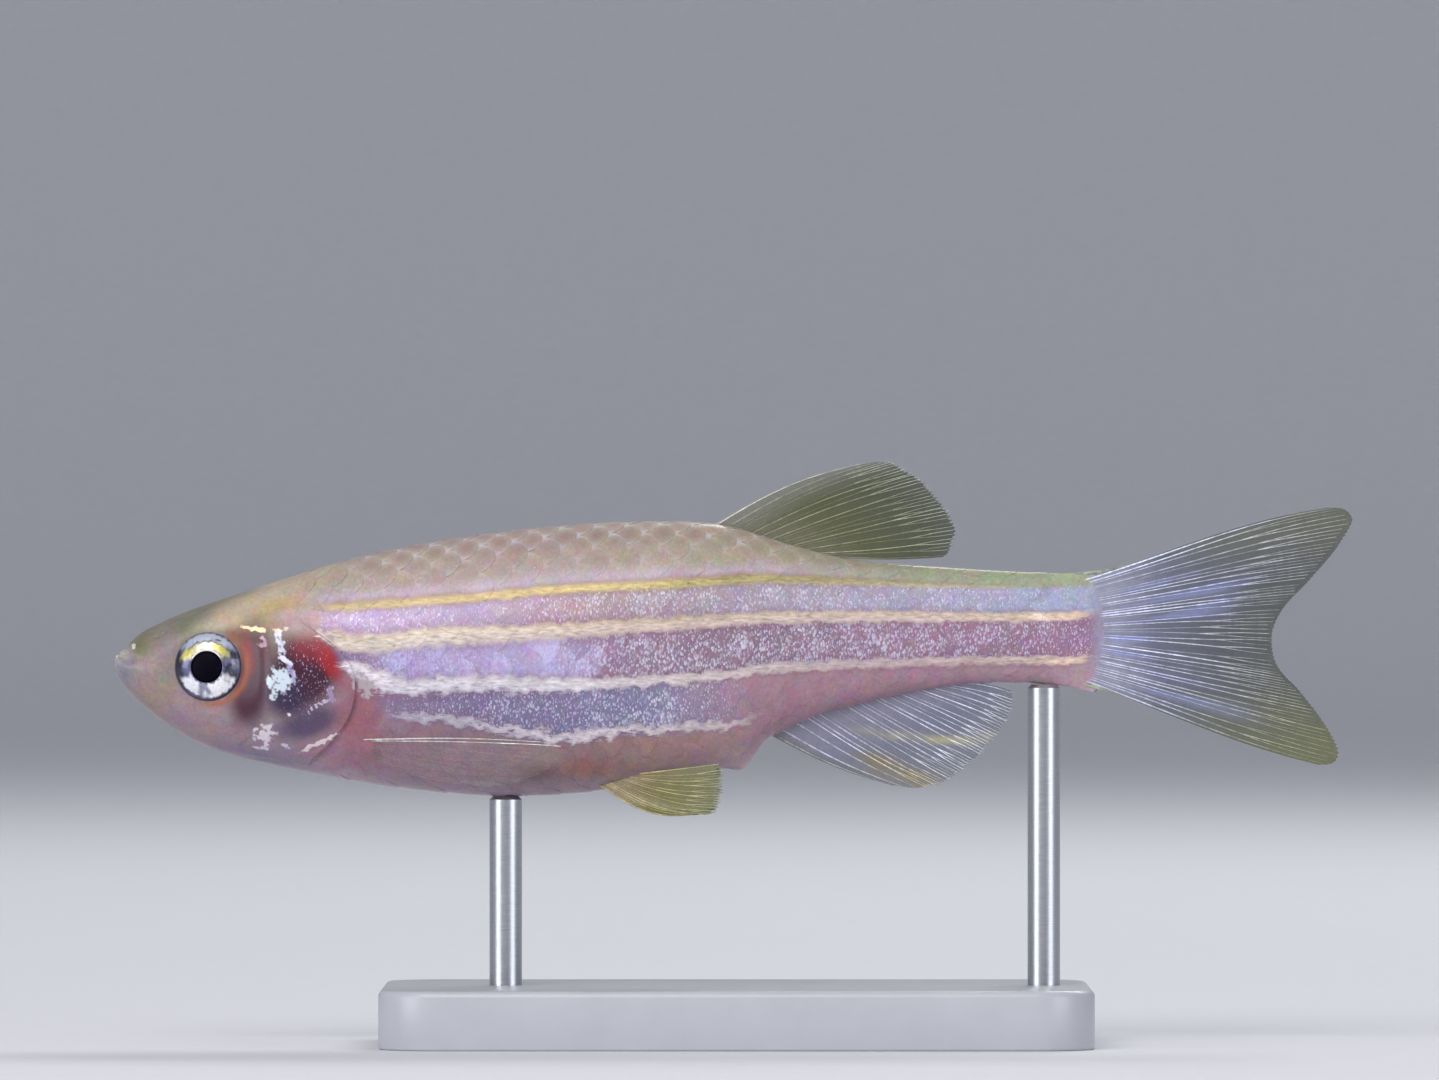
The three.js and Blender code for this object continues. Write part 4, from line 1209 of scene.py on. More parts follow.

# %% [markdown]
# ## Eyes
# The eye is a flattened ball with a flat ring of iris, a clear front and a black pupil through
# which the round lens bulges. A profile of half the ball is spun about its own outward axis, as
# it would be turned on a lathe. The iris is silver below, gold above the pupil and slate at the
# sides, painted by angle and distance from the centre, and a pale blue-grey cap at its top is a
# painted highlight.

# %% Eyes
pupil_edge = (0.53, 0.55)
iris_edge = (1.04, 1.13)
eye_profile = [(0.0, -0.78), (0.35, -0.74), (0.6, -0.66), (0.83, -0.53), (1.02, -0.34), (1.13, -0.14)]
eye_profile += [(1.18, 0.06), (1.178, 0.2), (1.15, 0.31), (1.1, 0.4), (1.0, 0.49), (0.87, 0.57)]
eye_profile += [(0.74, 0.63), (0.64, 0.66), (0.57, 0.67), (0.545, 0.665), (0.53, 0.64)]
eye_profile += [(0.525, 0.5), (0.0, 0.45)]
lens_profile = [(0.0, 0.4), (0.4, 0.42), (0.524, 0.52), (0.52, 0.62), (0.48, 0.66), (0.4, 0.69)]
lens_profile += [(0.28, 0.715), (0.14, 0.73), (0.0, 0.735)]
# colour, middle, half width and softness of the arc in degrees, inner and outer radius, softness
iris_arcs = [
    ("#4c4e70", 190, 20, 12, 0.55, 0.74, 0.03),
    ("#24263a", 5, 32, 12, 0.6, 1.04, 0.03),
    ("#6d6c90", 13, 5, 5, 0.62, 0.95, 0.03),
    ("#5d5c7a", -6, 4, 4, 0.8, 1.02, 0.03),
    ("#eceef4", -130, 22, 12, 0.58, 1.0, 0.03),
    ("#f6f7fb", -58, 34, 12, 0.58, 1.04, 0.03),
    ("#8f91a8", -98, 6, 5, 0.6, 0.88, 0.03),
    ("#b8b28a", 90, 66, 12, 0.6, 0.87, 0.03),
    ("#c6bb5c", 146, 13, 12, 0.64, 0.96, 0.05),
    ("#c4b957", 50, 15, 12, 0.66, 0.9, 0.05),
    ("#e2e0cc", 96, 22, 12, 0.6, 0.82, 0.03),
    ("#3f4658", 92, 44, 12, 0.85, 0.89, 0.015),
    # a painted highlight: pale blue-grey light on the top of the iris
    ("#b4bccd", 92, 52, 12, 0.9, 1.12, 0.04),
    ("#3b4150", 72, 9, 5, 0.94, 0.99, 0.02),
]


def spun(profile_points, name, smoothing, steps=96):
    """A closed solid turned from (radius, out) points about the Z axis."""
    bm = bmesh.new()
    verts = [bm.verts.new((r, 0, z)) for r, z in profile_points]
    edges = [bm.edges.new(pair) for pair in zip(verts, verts[1:])]
    if smoothing:
        bmesh.ops.subdivide_edges(bm, edges=edges, cuts=smoothing, smooth=0.0)
    whole = bm.verts[:] + bm.edges[:]
    axis = {"cent": (0, 0, 0), "axis": (0, 0, 1), "angle": 2 * math.pi}
    bmesh.ops.spin(bm, geom=whole, steps=steps, use_merge=True, **axis)
    bmesh.ops.remove_doubles(bm, verts=bm.verts[:], dist=1e-4)
    bmesh.ops.recalc_face_normals(bm, faces=bm.faces[:])
    return mesh_from(bm, name)


def seat_eye(mesh, side):
    """Moves a spun form into its eye socket and gives each point's radius and angle."""
    local = points_of(mesh)
    centre, out, rear, up = eye_axes(side)
    radius = np.hypot(local[:, 0], local[:, 1])
    turn = np.arctan2(local[:, 1], local[:, 0])
    seated = centre + local[:, :1] * rear + local[:, 1:2] * up + local[:, 2:] * out
    set_points(mesh, seated)
    outward(mesh)
    return radius, np.degrees(turn), local[:, 2]


def arc(turn, middle, half, soft):
    """1 near an angle and 0 away from it, in degrees."""
    away = np.abs((turn - middle + 180) % 360 - 180)
    return 1 - ease(away, half - soft, half + soft)


def band(radius, low, high, soft):
    return ease(radius, low - soft, low + soft) * (1 - ease(radius, high - soft, high + soft))


def paint_iris(radius, turn, out):
    """Lays arcs and rings of colour over the dark ground of the iris."""
    x, y = radius * np.cos(np.radians(turn)), radius * np.sin(np.radians(turn))
    shaky = turn + 9 * wander(x, y, 0.3, 31)
    uneven = radius + 0.035 * wander(x, y, 0.2, 32)
    colour = np.zeros((len(radius), 3)) + linear("#55577a")
    colour = over(colour, linear("#1d1f38"), arc(shaky, 186, 40, 16) * ease(uneven, 0.74, 0.88))
    for code, middle, half, fade, low, high, soft in iris_arcs:
        share = arc(shaky, middle, half, fade) * band(uneven, low, high, soft)
        colour = over(colour, linear(code), share)
    colour = over(colour, linear("#efece2"), arc(shaky, 92, 58, 12) * band(radius, 0.535, 0.6, 0.012))
    colour = over(colour, linear("#2a2a3c"), (1 - arc(shaky, 92, 64, 12)) * ease(uneven, *iris_edge))
    return over(colour, linear("#0a090f"), (1 - ease(radius, *pupil_edge)) * (out > 0))


# %% [markdown]
# ## Iris and pupil materials
# The iris is a foil of the same guanine crystals as the stripes, so it is part metal, with fine
# threads that run outwards. The cornea over it is a smooth clear coat. The lens is nearly black,
# because under water it hardly reflects.

# %% Iris and pupil materials
iris_material, tree, where = new_material("iris_guanine_foil")
painted_iris = add(tree, "ShaderNodeAttribute", attribute_name="iris")
threads = add(
    tree, "ShaderNodeTexNoise", {"Vector": where, "Scale": 14.0, "Detail": 4.0, "Roughness": 0.65}
)
light = add(
    tree,
    "ShaderNodeMapRange",
    {"Value": threads, "From Min": 0.3, "From Max": 0.7, "To Min": 0.78, "To Max": 1.15},
)
foil_colour = add(tree, "ShaderNodeVectorMath", {0: painted_iris, "Scale": light}, operation="SCALE")
bump = add(tree, "ShaderNodeBump", {"Height": threads, "Strength": 0.6, "Distance": 0.02 * MM})
surface = add(
    tree,
    "ShaderNodeBsdfPrincipled",
    {"Base Color": foil_colour, "Metallic": 0.35, "Roughness": 0.3, "Normal": bump}
    | {"Coat Weight": 1.0, "Coat Roughness": 0.04, "Coat IOR": 1.34},
)
add(tree, "ShaderNodeOutputMaterial", {"Surface": surface})

pupil_material, tree, where = new_material("pupil_lens")
cloud = add(tree, "ShaderNodeTexNoise", {"Vector": where, "Scale": 2.0})
deep = add(
    tree, "ShaderNodeMix", {"Factor": cloud, "A": rgba("#050408"), "B": rgba("#0c0b18")}, data_type="RGBA"
)
surface = add(tree, "ShaderNodeBsdfPrincipled", {"Base Color": deep, "Roughness": 0.4, "IOR": 1.1})
add(tree, "ShaderNodeOutputMaterial", {"Surface": surface})

for side, name in ((-1, "left"), (1, "right")):
    mesh = spun(eye_profile, f"eye_{name}", 3)
    radius, turn, out = seat_eye(mesh, side)
    keep(mesh, "iris", paint_iris(radius, turn, out))
    show(mesh, f"eyeball_{name}", iris_material, [f"eye_{name}"])
    mesh = spun(lens_profile, f"lens_{name}", 1, 64)
    seat_eye(mesh, side)
    show(mesh, f"lens_{name}", pupil_material, [f"pupil_{name}"])

# %% [markdown]
# ## The sheet of a fin
# A fin is a fan. Its rays start on a root line and end on a margin, and a point of the sheet is
# given by how far across the fan it lies and how far along a ray. The lines are those of the
# solids, and both the clear web and its rays are laid on this one sheet.

# %% The sheet of a fin
def curve(points):
    """A smooth line through (station, height) points, read by its share of length."""
    points = np.array(points, float)
    reach = np.concatenate([[0], np.cumsum(np.hypot(*np.diff(points, axis=0).T))])
    fine = np.linspace(0, reach[-1], 240)
    spots = np.stack([profile(np.c_[reach, points[:, i]])(fine) for i in (0, 1)], axis=-1)
    length = np.concatenate([[0], np.cumsum(np.hypot(*np.diff(spots, axis=0).T))])

    def read(share):
        at = np.clip(share, 0, 1) * length[-1]
        return np.stack([np.interp(at, length, spots[:, i]) for i in (0, 1)], axis=-1)

    return read


def fin_sheet(root, margin, bow, spread, late=1.0):
    """The sheet as a function of (across, along), giving (station, away, height)."""
    root_line, margin_line = curve(root), curve(margin)

    def sheet(across, along):
        across, along = np.broadcast_arrays(np.asarray(across, float), np.asarray(along, float))
        start, end = root_line(across), margin_line(across)
        flat = start + (end - start) * along[..., None]
        swell = np.sin(np.pi * np.clip(along, 0, 1) ** late)
        height = flat[..., 1] + bow(across) * swell
        return np.stack([flat[..., 0], spread(across, along), height], axis=-1)

    return sheet


def sheet_normals(sheet, across, along, step=0.01):
    over_it = sheet(across + step, along) - sheet(across - step, along)
    down_it = sheet(across, along + step) - sheet(across, along - step)
    normal = np.cross(over_it, down_it)
    return normal / np.maximum(np.linalg.norm(normal, axis=-1, keepdims=True), 1e-9)


# %% [markdown]
# ## Rays
# A soft ray is two thin jointed struts, side by side, that part and split again on their way to
# the margin. One tube is extruded from a circle, and a copy of it is bent along each strand.
# The strands taper from less than a tenth of a millimetre to a hair.

# %% Rays
ray_steps = 12
bm = bmesh.new()
bmesh.ops.create_circle(bm, segments=6, radius=1, cap_ends=True)
edges = bm.edges[:]
for _ in range(ray_steps):
    moved = bmesh.ops.extrude_edge_only(bm, edges=edges)["geom"]
    edges = [item for item in moved if isinstance(item, bmesh.types.BMEdge)]
    verts = [item for item in moved if isinstance(item, bmesh.types.BMVert)]
    bmesh.ops.translate(bm, verts=verts, vec=(0, 0, 1 / ray_steps))
bmesh.ops.contextual_create(bm, geom=edges)
bmesh.ops.recalc_face_normals(bm, faces=bm.faces[:])
tube_mesh = mesh_from(bm, "ray_tube")
tube = points_of(tube_mesh)


# gaps in shares of the space between two rays
ray_jitter, strut_gap, branch_gap, twig_gap = 0.14, 0.17, 0.25, 0.125
edge_share = 0.012
ray_root = -0.04
ray_flatness = 0.85


def strands_of(ray_count, split, seed, whole=(), reach=0.985):
    """Strands of every ray, each as (across, along) knots and its radius at both ends."""
    draw = np.random.default_rng(seed)
    spacing = 1 / (ray_count - 1)
    found = []
    for i in range(ray_count):
        at_edge = i in (0, ray_count - 1)
        at = i * spacing + (0 if at_edge else ray_jitter * spacing * draw.uniform(-1, 1))
        at = min(max(at, edge_share), 1 - edge_share)
        if at_edge or i in whole:
            found.append(([(at, ray_root), (at, 0.4), (at, 0.97)], 1.15, 0.35))
            continue
        first = split + draw.uniform(-0.05, 0.05)
        second = first + 0.3 + draw.uniform(-0.04, 0.04)
        for side in (-1, 1):
            near, apart = at + side * strut_gap * spacing, at + side * branch_gap * spacing
            path = [(near, ray_root), (near, first), (apart, second + 0.03)]
            stout = draw.uniform(0.8, 1.2)
            found.append((path, 0.8 * stout, 0.6 * stout))
            for way in (-1, 1):
                tip = apart + way * twig_gap * spacing
                end = reach + draw.uniform(-0.015, 0.012)
                found.append(([(apart, second), (tip, blend(second, end, 0.6)), (tip, end)], 0.6, 0.4))
    return found


def lay_rays(sheet, strands, thickness, name):
    """Bends one tube along each strand. Gives the mesh and each point's place in the fan."""
    share = tube[:, 2]
    spots, runs, acrosses, alongs = [], [], [], []
    for path, thick, thin in strands:
        knots = np.array(path)
        across = profile(knots[:, ::-1])(blend(knots[0, 1], knots[-1, 1], share))
        along = blend(knots[0, 1], knots[-1, 1], share)
        middle = sheet(across, along)
        ahead = sheet(across, along + 0.01) - sheet(across, along - 0.01)
        ahead = ahead / np.linalg.norm(ahead, axis=-1, keepdims=True)
        out = sheet_normals(sheet, across, along)
        sideways = np.cross(out, ahead)
        radius = (thickness * blend(thick, thin, share))[:, None]
        spots.append(middle + (sideways * tube[:, :1] * ray_flatness + out * tube[:, 1:2]) * radius)
        length = np.linalg.norm(sheet(across[-1], 1.0) - sheet(across[-1], 0.0))
        runs.append(along * length)
        acrosses.append(across)
        alongs.append(along)
    mesh = copies_of(tube_mesh, len(strands), name)
    set_points(mesh, np.concatenate(spots))
    outward(mesh)
    keep(mesh, "run", np.concatenate(runs))
    luck = np.random.default_rng(len(strands)).uniform(0, 1, len(strands))
    keep(mesh, "luck", np.repeat(luck, len(tube)))
    return mesh, np.concatenate(acrosses), np.concatenate(alongs)


# %% [markdown]
# ## Webs
# The web between the rays is a clear skin, a few hundredths of a millimetre thick and thinner
# towards the margin. It is a grid with its thickness given, laid on both sides of the sheet. The
# corners of the fan are rounded, and the margin is drawn in between the ray tips, by an uneven
# amount, as in any fin that has been used.

# %% Webs
web_thickness = (0.05, 0.022)
web_start, web_end = -0.03, 0.985


def lay_web(sheet, strand_count, size, name, corner, fringe=0.02):
    bm = bmesh.new()
    bmesh.ops.create_grid(bm, x_segments=size[0], y_segments=size[1], size=0.5)
    bmesh.ops.recalc_face_normals(bm, faces=bm.faces[:])
    bmesh.ops.solidify(bm, geom=bm.faces[:], thickness=1.0)
    mesh = mesh_from(bm, name)
    flat = points_of(mesh)
    across, share = flat[:, 0] + 0.5, flat[:, 1] + 0.5
    side = np.where(flat[:, 2] > flat[:, 2].mean(), 0.5, -0.5)
    beside = np.minimum(across, 1 - across)
    rounding = corner[1] * (1 - np.sqrt(1 - np.clip(1 - beside / corner[0], 0, 1) ** 2))
    uneven = 0.5 + 0.5 * wander(across, 0 * across, 0.12, len(name))
    scallop = fringe * np.abs(np.sin(math.pi * across * strand_count)) * (0.4 + uneven)
    along = web_start + share * (web_end - scallop - rounding - web_start)
    thickness = blend(web_thickness[0], web_thickness[1], np.clip(along, 0, 1))
    normal = sheet_normals(sheet, across, along)
    set_points(mesh, sheet(across, along) + normal * (side * thickness)[:, None])
    outward(mesh)
    return mesh, across, along


# %% [markdown]
# ## Fin materials
# Every fin is clear skin on rays of bone, tinted differently: olive on the back fin, blue-grey
# with yellow streaks under the tail, yellow-green on the belly fins. The web lets a good part of
# the light through. On the breast fins both web and rays let nearly all of it through. Rays are
# pale, with a darker joint every fifth of a millimetre.

# %% Fin materials
joint_pitch = 0.2


def web_material(name, alpha):
    material, tree, where = new_material(name)
    tint = add(tree, "ShaderNodeAttribute", attribute_name="tint")
    cloud = add(tree, "ShaderNodeTexNoise", {"Vector": where, "Scale": 5.0, "Detail": 3.0})
    light = add(tree, "ShaderNodeMapRange", {"Value": cloud, "To Min": 0.75, "To Max": 1.25})
    colour = add(tree, "ShaderNodeVectorMath", {0: tint, "Scale": light}, operation="SCALE")
    bump = add(tree, "ShaderNodeBump", {"Height": cloud, "Strength": 0.3, "Distance": 0.02 * MM})
    surface = add(
        tree,
        "ShaderNodeBsdfPrincipled",
        {"Base Color": colour, "Roughness": 0.35, "Normal": bump, "IOR": 1.4, "Alpha": alpha}
        | {"Coat Weight": 0.3, "Coat Roughness": 0.15},
    )
    add(tree, "ShaderNodeOutputMaterial", {"Surface": surface})
    return material


fin_web = web_material("fin_web_skin", 0.58)
breast_fin_web = web_material("fin_web_clear", 0.03)


def ray_material(name, alpha):
    material, tree, where = new_material(name)
    tint = add(tree, "ShaderNodeAttribute", attribute_name="tint")
    run = add(tree, "ShaderNodeAttribute", attribute_name="run")
    counted = add(tree, "ShaderNodeMath", {0: run.outputs["Fac"], 1: joint_pitch}, operation="DIVIDE")
    part_way = add(tree, "ShaderNodeMath", {0: counted}, operation="FRACT")
    joint = add(
        tree,
        "ShaderNodeMapRange",
        {"Value": part_way, "From Min": 0.75, "From Max": 0.95, "To Min": 1.0, "To Max": 0.7},
    )
    luck = add(tree, "ShaderNodeAttribute", attribute_name="luck")
    lightness = add(
        tree, "ShaderNodeMapRange", {"Value": luck.outputs["Fac"], "To Min": 0.6, "To Max": 1.35}
    )
    glints = add(tree, "ShaderNodeTexNoise", {"Vector": where, "Scale": 3.0, "Detail": 3.0})
    glint = add(
        tree,
        "ShaderNodeMapRange",
        {"Value": glints, "From Min": 0.35, "From Max": 0.7, "To Min": 0.7, "To Max": 1.45},
    )
    toned = add(tree, "ShaderNodeMath", {0: joint, 1: lightness}, operation="MULTIPLY")
    lit = add(tree, "ShaderNodeMath", {0: toned, 1: glint}, operation="MULTIPLY")
    colour = add(tree, "ShaderNodeVectorMath", {0: tint, "Scale": lit}, operation="SCALE")
    surface = add(
        tree,
        "ShaderNodeBsdfPrincipled",
        {"Base Color": colour, "Roughness": 0.35, "IOR": 1.5, "Alpha": alpha}
        | {"Coat Weight": 0.4, "Coat Roughness": 0.1},
    )
    add(tree, "ShaderNodeOutputMaterial", {"Surface": surface})
    return material


fin_ray = ray_material("fin_ray_bone", 1.0)
breast_fin_ray = ray_material("fin_ray_clear", 0.06)


def add_fin(name, sheet, web, rays, tints, looks=(fin_web, fin_ray), replaced=True):
    """Web and rays of one fin. The tints are functions of (across, along)."""
    mesh, across, along = lay_web(sheet, name=f"{name}_web", **web)
    keep(mesh, "tint", tints[0](across, along))
    show(mesh, f"{name}_web", looks[0], [name] if replaced else ())
    mesh, across, along = lay_rays(sheet, name=f"{name}_rays", **rays)
    keep(mesh, "tint", tints[1](across, along))
    show(mesh, f"{name}_rays", looks[1])


# %% [markdown]
# ## Back fin and the fin under the tail
# Both stand on the middle line with their roots sunk a little in the flesh. The back fin is
# olive, with its first rays bundled along its front edge. The fin under the tail is clear and
# blue-grey, with a yellow band near its lower edge and a paler streak above it.

# %% Back fin and the fin under the tail
sunk_root = 0.12


def on_back(station):
    return (station, float(back_line(station)) - sunk_root)


def on_belly(station):
    return (station, float(belly_line(station)) + sunk_root)


def on_middle(across, along):
    return np.zeros(np.shape(across))


def back_fin_web(across, along):
    colour = graded(along, [(0, "#6d6b50"), (0.35, "#4a4d0a"), (0.75, "#394010"), (1, "#464b3c")])
    return over(colour, linear("#7f8079"), 0.8 * (1 - ease(across, 0.05, 0.35)))


def back_fin_rays(across, along):
    colour = graded(along, [(0, "#98957a"), (0.5, "#84876a"), (0.85, "#8e9280"), (1, "#b0b4a8")])
    return over(colour, linear("#aeaca0"), 1 - ease(across, 0.0, 0.15))


back_sheet = fin_sheet(
    [on_back(s) for s in (20.2, 21.2, 22.2, 23.2, 24.0)],
    [(25.3, 6.66), (26.2, 6.72), (27.2, 6.2), (28.05, 5.3), (28.5, 4.4), (28.25, 3.5)],
    lambda across: 0.32 - 0.42 * across,
    on_middle,
)
add_fin(
    "dorsal_fin",
    back_sheet,
    {"strand_count": 40, "size": (160, 48), "corner": (0.08, 0.05)},
    {"strands": strands_of(11, 0.36, 101, whole=(1,)), "thickness": 0.038},
    (back_fin_web, back_fin_rays),
)


def anal_fin_web(across, along):
    colour = graded(along, [(0, "#8a869b"), (0.5, "#6f7389"), (1, "#757984")])
    blotches = ease(wander(across * 6, along * 5, 1.2, 41), -0.3, 0.5)
    lower = hump(across - 0.2, 0.1) * ease(along, 0.35, 0.6) * (0.45 + 0.55 * blotches)
    colour = over(colour, linear("#8a7836"), 0.85 * lower)
    streak = hump(across - 0.5 - 0.5 * (along - 0.6), 0.045) * ease(along, 0.15, 0.4)
    streak = streak * (0.4 + 0.6 * blotches)
    colour = over(colour, linear("#b5af80"), 0.8 * streak)
    return over(colour, linear("#5f6152"), 0.6 * (1 - ease(across, 0.0, 0.08)))


def anal_fin_rays(across, along):
    colour = graded(along, [(0, "#b4b3c8"), (0.6, "#ced0e0"), (1, "#c3c6ca")])
    lower = hump(across - 0.18, 0.12) * ease(along, 0.4, 0.65)
    colour = over(colour, linear("#b9ab6e"), 0.7 * lower)
    return over(colour, linear("#8b8c80"), 0.7 * (1 - ease(across, 0.02, 0.1)))


anal_sheet = fin_sheet(
    [on_belly(s) for s in (22.15, 23.2, 24.4, 25.8, 27.3, 28.4)],
    [(26.4, -4.28), (27.3, -4.36), (28.2, -4.1), (29.4, -3.1), (30.25, -1.9), (30.42, -1.08)],
    lambda across: -0.18 + 0.3 * across,
    on_middle,
)
add_fin(
    "anal_fin",
    anal_sheet,
    {"strand_count": 56, "size": (168, 48), "corner": (0.06, 0.05), "fringe": 0.03},
    {"strands": strands_of(15, 0.38, 102, whole=(1, 2)), "thickness": 0.042},
    (anal_fin_web, anal_fin_rays),
)

# %% [markdown]
# ## Tail fin
# The tail fin is forked, with nineteen main rays that fan out from the end of the backbone.
# Short unsplit rays fill the slope above and below its root. It is grey, with blue light along
# the middle rays and olive lobes.

# %% Tail fin
tail_web_colours = [(0, "#a6a7bb"), (0.12, "#8e90a4"), (0.3, "#63677c"), (0.7, "#4c4f55")]
tail_web_colours += [(1, "#4a4d47")]
tail_ray_colours = [(0, "#b4b7cc"), (0.08, "#c4c8de"), (0.2, "#cbd0e8"), (0.6, "#b2b5be")]
tail_ray_colours += [(1, "#979a91")]


def blue_light(across, along):
    """Where the tail shines blue: a few broad streaks along the rays, fading before the margin."""
    return ease(wander(across * 9, along * 1.2, 1.1, 71), 0.0, 0.7) * (1 - ease(along, 0.5, 0.8))


def tail_web(across, along):
    colour = graded(along, tail_web_colours)
    colour = over(colour, linear("#8f97c4"), 0.55 * blue_light(across, along) * ease(along, 0.02, 0.12))
    colour = colour * (1 + 0.22 * np.clip(wander(across * 60, along * 2, 1.0, 72), -1, 1))[..., None]
    lobes = np.abs(across - 0.5) * 2
    colour = over(colour, linear("#63664c"), 0.7 * ease(lobes, 0.5, 0.95) * ease(along, 0.15, 0.6))
    return over(colour, linear("#6b6e3c"), 0.65 * ease(across, 0.62, 0.95) * ease(along, 0.5, 0.9))


def tail_rays(across, along):
    colour = graded(along, tail_ray_colours)
    colour = over(colour, linear("#abb5ee"), 0.85 * blue_light(across, along) * ease(along, 0.02, 0.12))
    return over(colour, linear("#959468"), 0.6 * ease(across, 0.6, 0.9) * ease(along, 0.2, 0.6))


def edge_web(across, along):
    return graded(along, [(0, "#7d8074"), (1, "#62665a")])


def edge_rays(across, along):
    return graded(along, [(0, "#8b8f80"), (1, "#8d917e")])


tail_root = [(32.8, 2.75), (33.05, 2.2), (33.18, 1.6), (33.22, 1.0), (33.18, 0.4)]
tail_root += [(33.05, -0.2), (32.8, -0.75)]
tail_sheet = fin_sheet(
    tail_root,
    [(41.3, 5.2), (41.75, 5.1), (41.98, 4.75), (41.5, 3.9), (40.5, 2.7), (39.6, 1.75), (39.22, 0.85)]
    + [(39.4, -0.2), (40.2, -1.1), (41.0, -2.15), (41.5, -3.05), (41.4, -3.45), (41.0, -3.62)],
    lambda across: 0.22 * (1 - 2 * across) ** 3 + 0.03,
    on_middle,
    late=1.5,
)
add_fin(
    "caudal_fin",
    tail_sheet,
    {"strand_count": 76, "size": (228, 64), "corner": (0.03, 0.025), "fringe": 0.005},
    {"strands": strands_of(19, 0.32, 103, reach=0.962), "thickness": 0.04},
    (tail_web, tail_rays),
)
for side, root, margin in (
    ("upper", [(32.3, 2.88), (33.3, 2.95)], [(34.2, 3.14), (35.2, 3.38), (36.3, 3.78)]),
    ("lower", [(32.3, -0.75), (33.3, -0.9)], [(34.2, -1.22), (35.2, -1.52), (36.3, -1.93)]),
):
    add_fin(
        f"caudal_fin_{side}_edge",
        fin_sheet(root, margin, lambda across: 0 * across, on_middle),
        {"strand_count": 7, "size": (24, 16), "corner": (0.05, 0.02)},
        {"strands": strands_of(8, 0.4, 110, whole=range(8)), "thickness": 0.034},
        (edge_web, edge_rays),
        replaced=False,
    )

# %% [markdown]
# ## Breast and belly fins
# The breast fins grow just behind the gill opening and are laid back along the belly, standing a
# little off it. They are almost clear, but for the strands of their front edge, which are pale
# bone. The belly fins are small fans of yellow-green.

# %% Breast and belly fins
pectoral_root = [(8.62, -2.66), (8.6, -2.98), (8.72, -3.34)]
pelvic_root = [(16.4, 0.75), (17.05, 0.9), (17.75, 1.0)]
fin_clearance = 0.3
half_round = np.linspace(0.3, math.pi, 200)
underside_points = 140


def side_away(station, height):
    """How far the skin is from the middle plane at a height on the side."""
    outline = body(station, half_round)
    return float(np.interp(-height, -outline[:, 2], outline[:, 1]))


def under_height(station, away):
    """How low the skin of the belly is at a distance from the middle plane."""
    outline = body(station, half_round[::-1])[:underside_points]
    return float(np.interp(away, outline[:, 1], outline[:, 2]))


def breast_web(across, along):
    return graded(along, [(0, "#a6949c"), (0.5, "#ada39f"), (1, "#b4ae9c")])


def breast_rays(across, along):
    colour = graded(along, [(0, "#b0a0a8"), (0.5, "#b8aeaa"), (1, "#c0bcab")])
    bright = hump(across - 0.02, 0.07) + 0.7 * hump(across - 0.25, 0.06) * hump(along - 0.75, 0.3)
    return over(colour, linear("#ecebe2"), np.clip(bright, 0, 1))


def belly_web(across, along):
    return graded(along, [(0, "#82714c"), (0.5, "#73703a"), (1, "#6c6f44")])


def belly_rays(across, along):
    return graded(along, [(0, "#9c8d62"), (0.6, "#a8a474"), (1, "#9d9e82")])


def breast_spread(side):
    """How far a breast fin's sheet stands from the middle plane, as a function of the fan."""
    root_away = [side_away(s, h) for s, h in pectoral_root]

    def spread(across, along):
        at_root = np.interp(across, [0, 0.5, 1], root_away) - 0.08
        leaves = fin_clearance * ease(along, 0, 0.12)
        return side * (at_root + leaves + np.clip(along, 0, 1) * (2.5 - 1.35 * across))

    return spread


def belly_spread(side):
    return lambda across, along: side * (0.8 + 0.2 * across + along * (1.4 - 0.45 * across))


for side, name in ((-1, "left"), (1, "right")):
    breast_sheet = fin_sheet(
        pectoral_root,
        [(15.0, -2.72), (15.3, -3.1), (14.9, -3.6), (13.9, -4.05), (12.7, -4.25)],
        lambda across: 0.1 - 0.3 * across,
        breast_spread(side),
    )
    strands = strands_of(11, 0.42, 104 + side)
    front_strands, rest = strands[:3], strands[3:]
    add_fin(
        f"pectoral_fin_{name}",
        breast_sheet,
        {"strand_count": 40, "size": (96, 40), "corner": (0.05, 0.04)},
        {"strands": rest, "thickness": 0.022},
        (breast_web, breast_rays),
        looks=(breast_fin_web, breast_fin_ray),
    )
    mesh, across, along = lay_rays(breast_sheet, front_strands, 0.03, f"pectoral_first_rays_{name}")
    keep(mesh, "tint", breast_rays(across, along))
    show(mesh, f"pectoral_first_rays_{name}", fin_ray)

    add_fin(
        f"pelvic_fin_{name}",
        fin_sheet(
            [(s, under_height(s, away) + 0.05) for s, away in pelvic_root],
            [(19.6, -5.18), (20.3, -5.12), (20.5, -4.6), (20.55, -4.0), (20.5, -3.45)],
            lambda across: -0.42 * (1 - across),
            belly_spread(side),
        ),
        {"strand_count": 28, "size": (84, 36), "corner": (0.04, 0.03), "fringe": 0.08},
        {"strands": strands_of(8, 0.36, 107 + side, reach=0.995), "thickness": 0.038},
        (belly_web, belly_rays),
    )

# %% [markdown]
# ## The stand
# A small museum stand: a pale acrylic base with softened edges, and two brushed steel rods that
# end under the belly. The base is a box whose upright corners and then whose upper edge are
# bevelled, and the rods are turned from a profile with a small chamfer.

# %% The stand
base_low, base_high = (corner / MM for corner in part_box("stand_base"))
size = base_high - base_low
bm = bmesh.new()
bmesh.ops.create_cube(bm, size=1)
bmesh.ops.scale(bm, vec=size, verts=bm.verts[:])
bmesh.ops.translate(bm, vec=(base_low + base_high) / 2, verts=bm.verts[:])
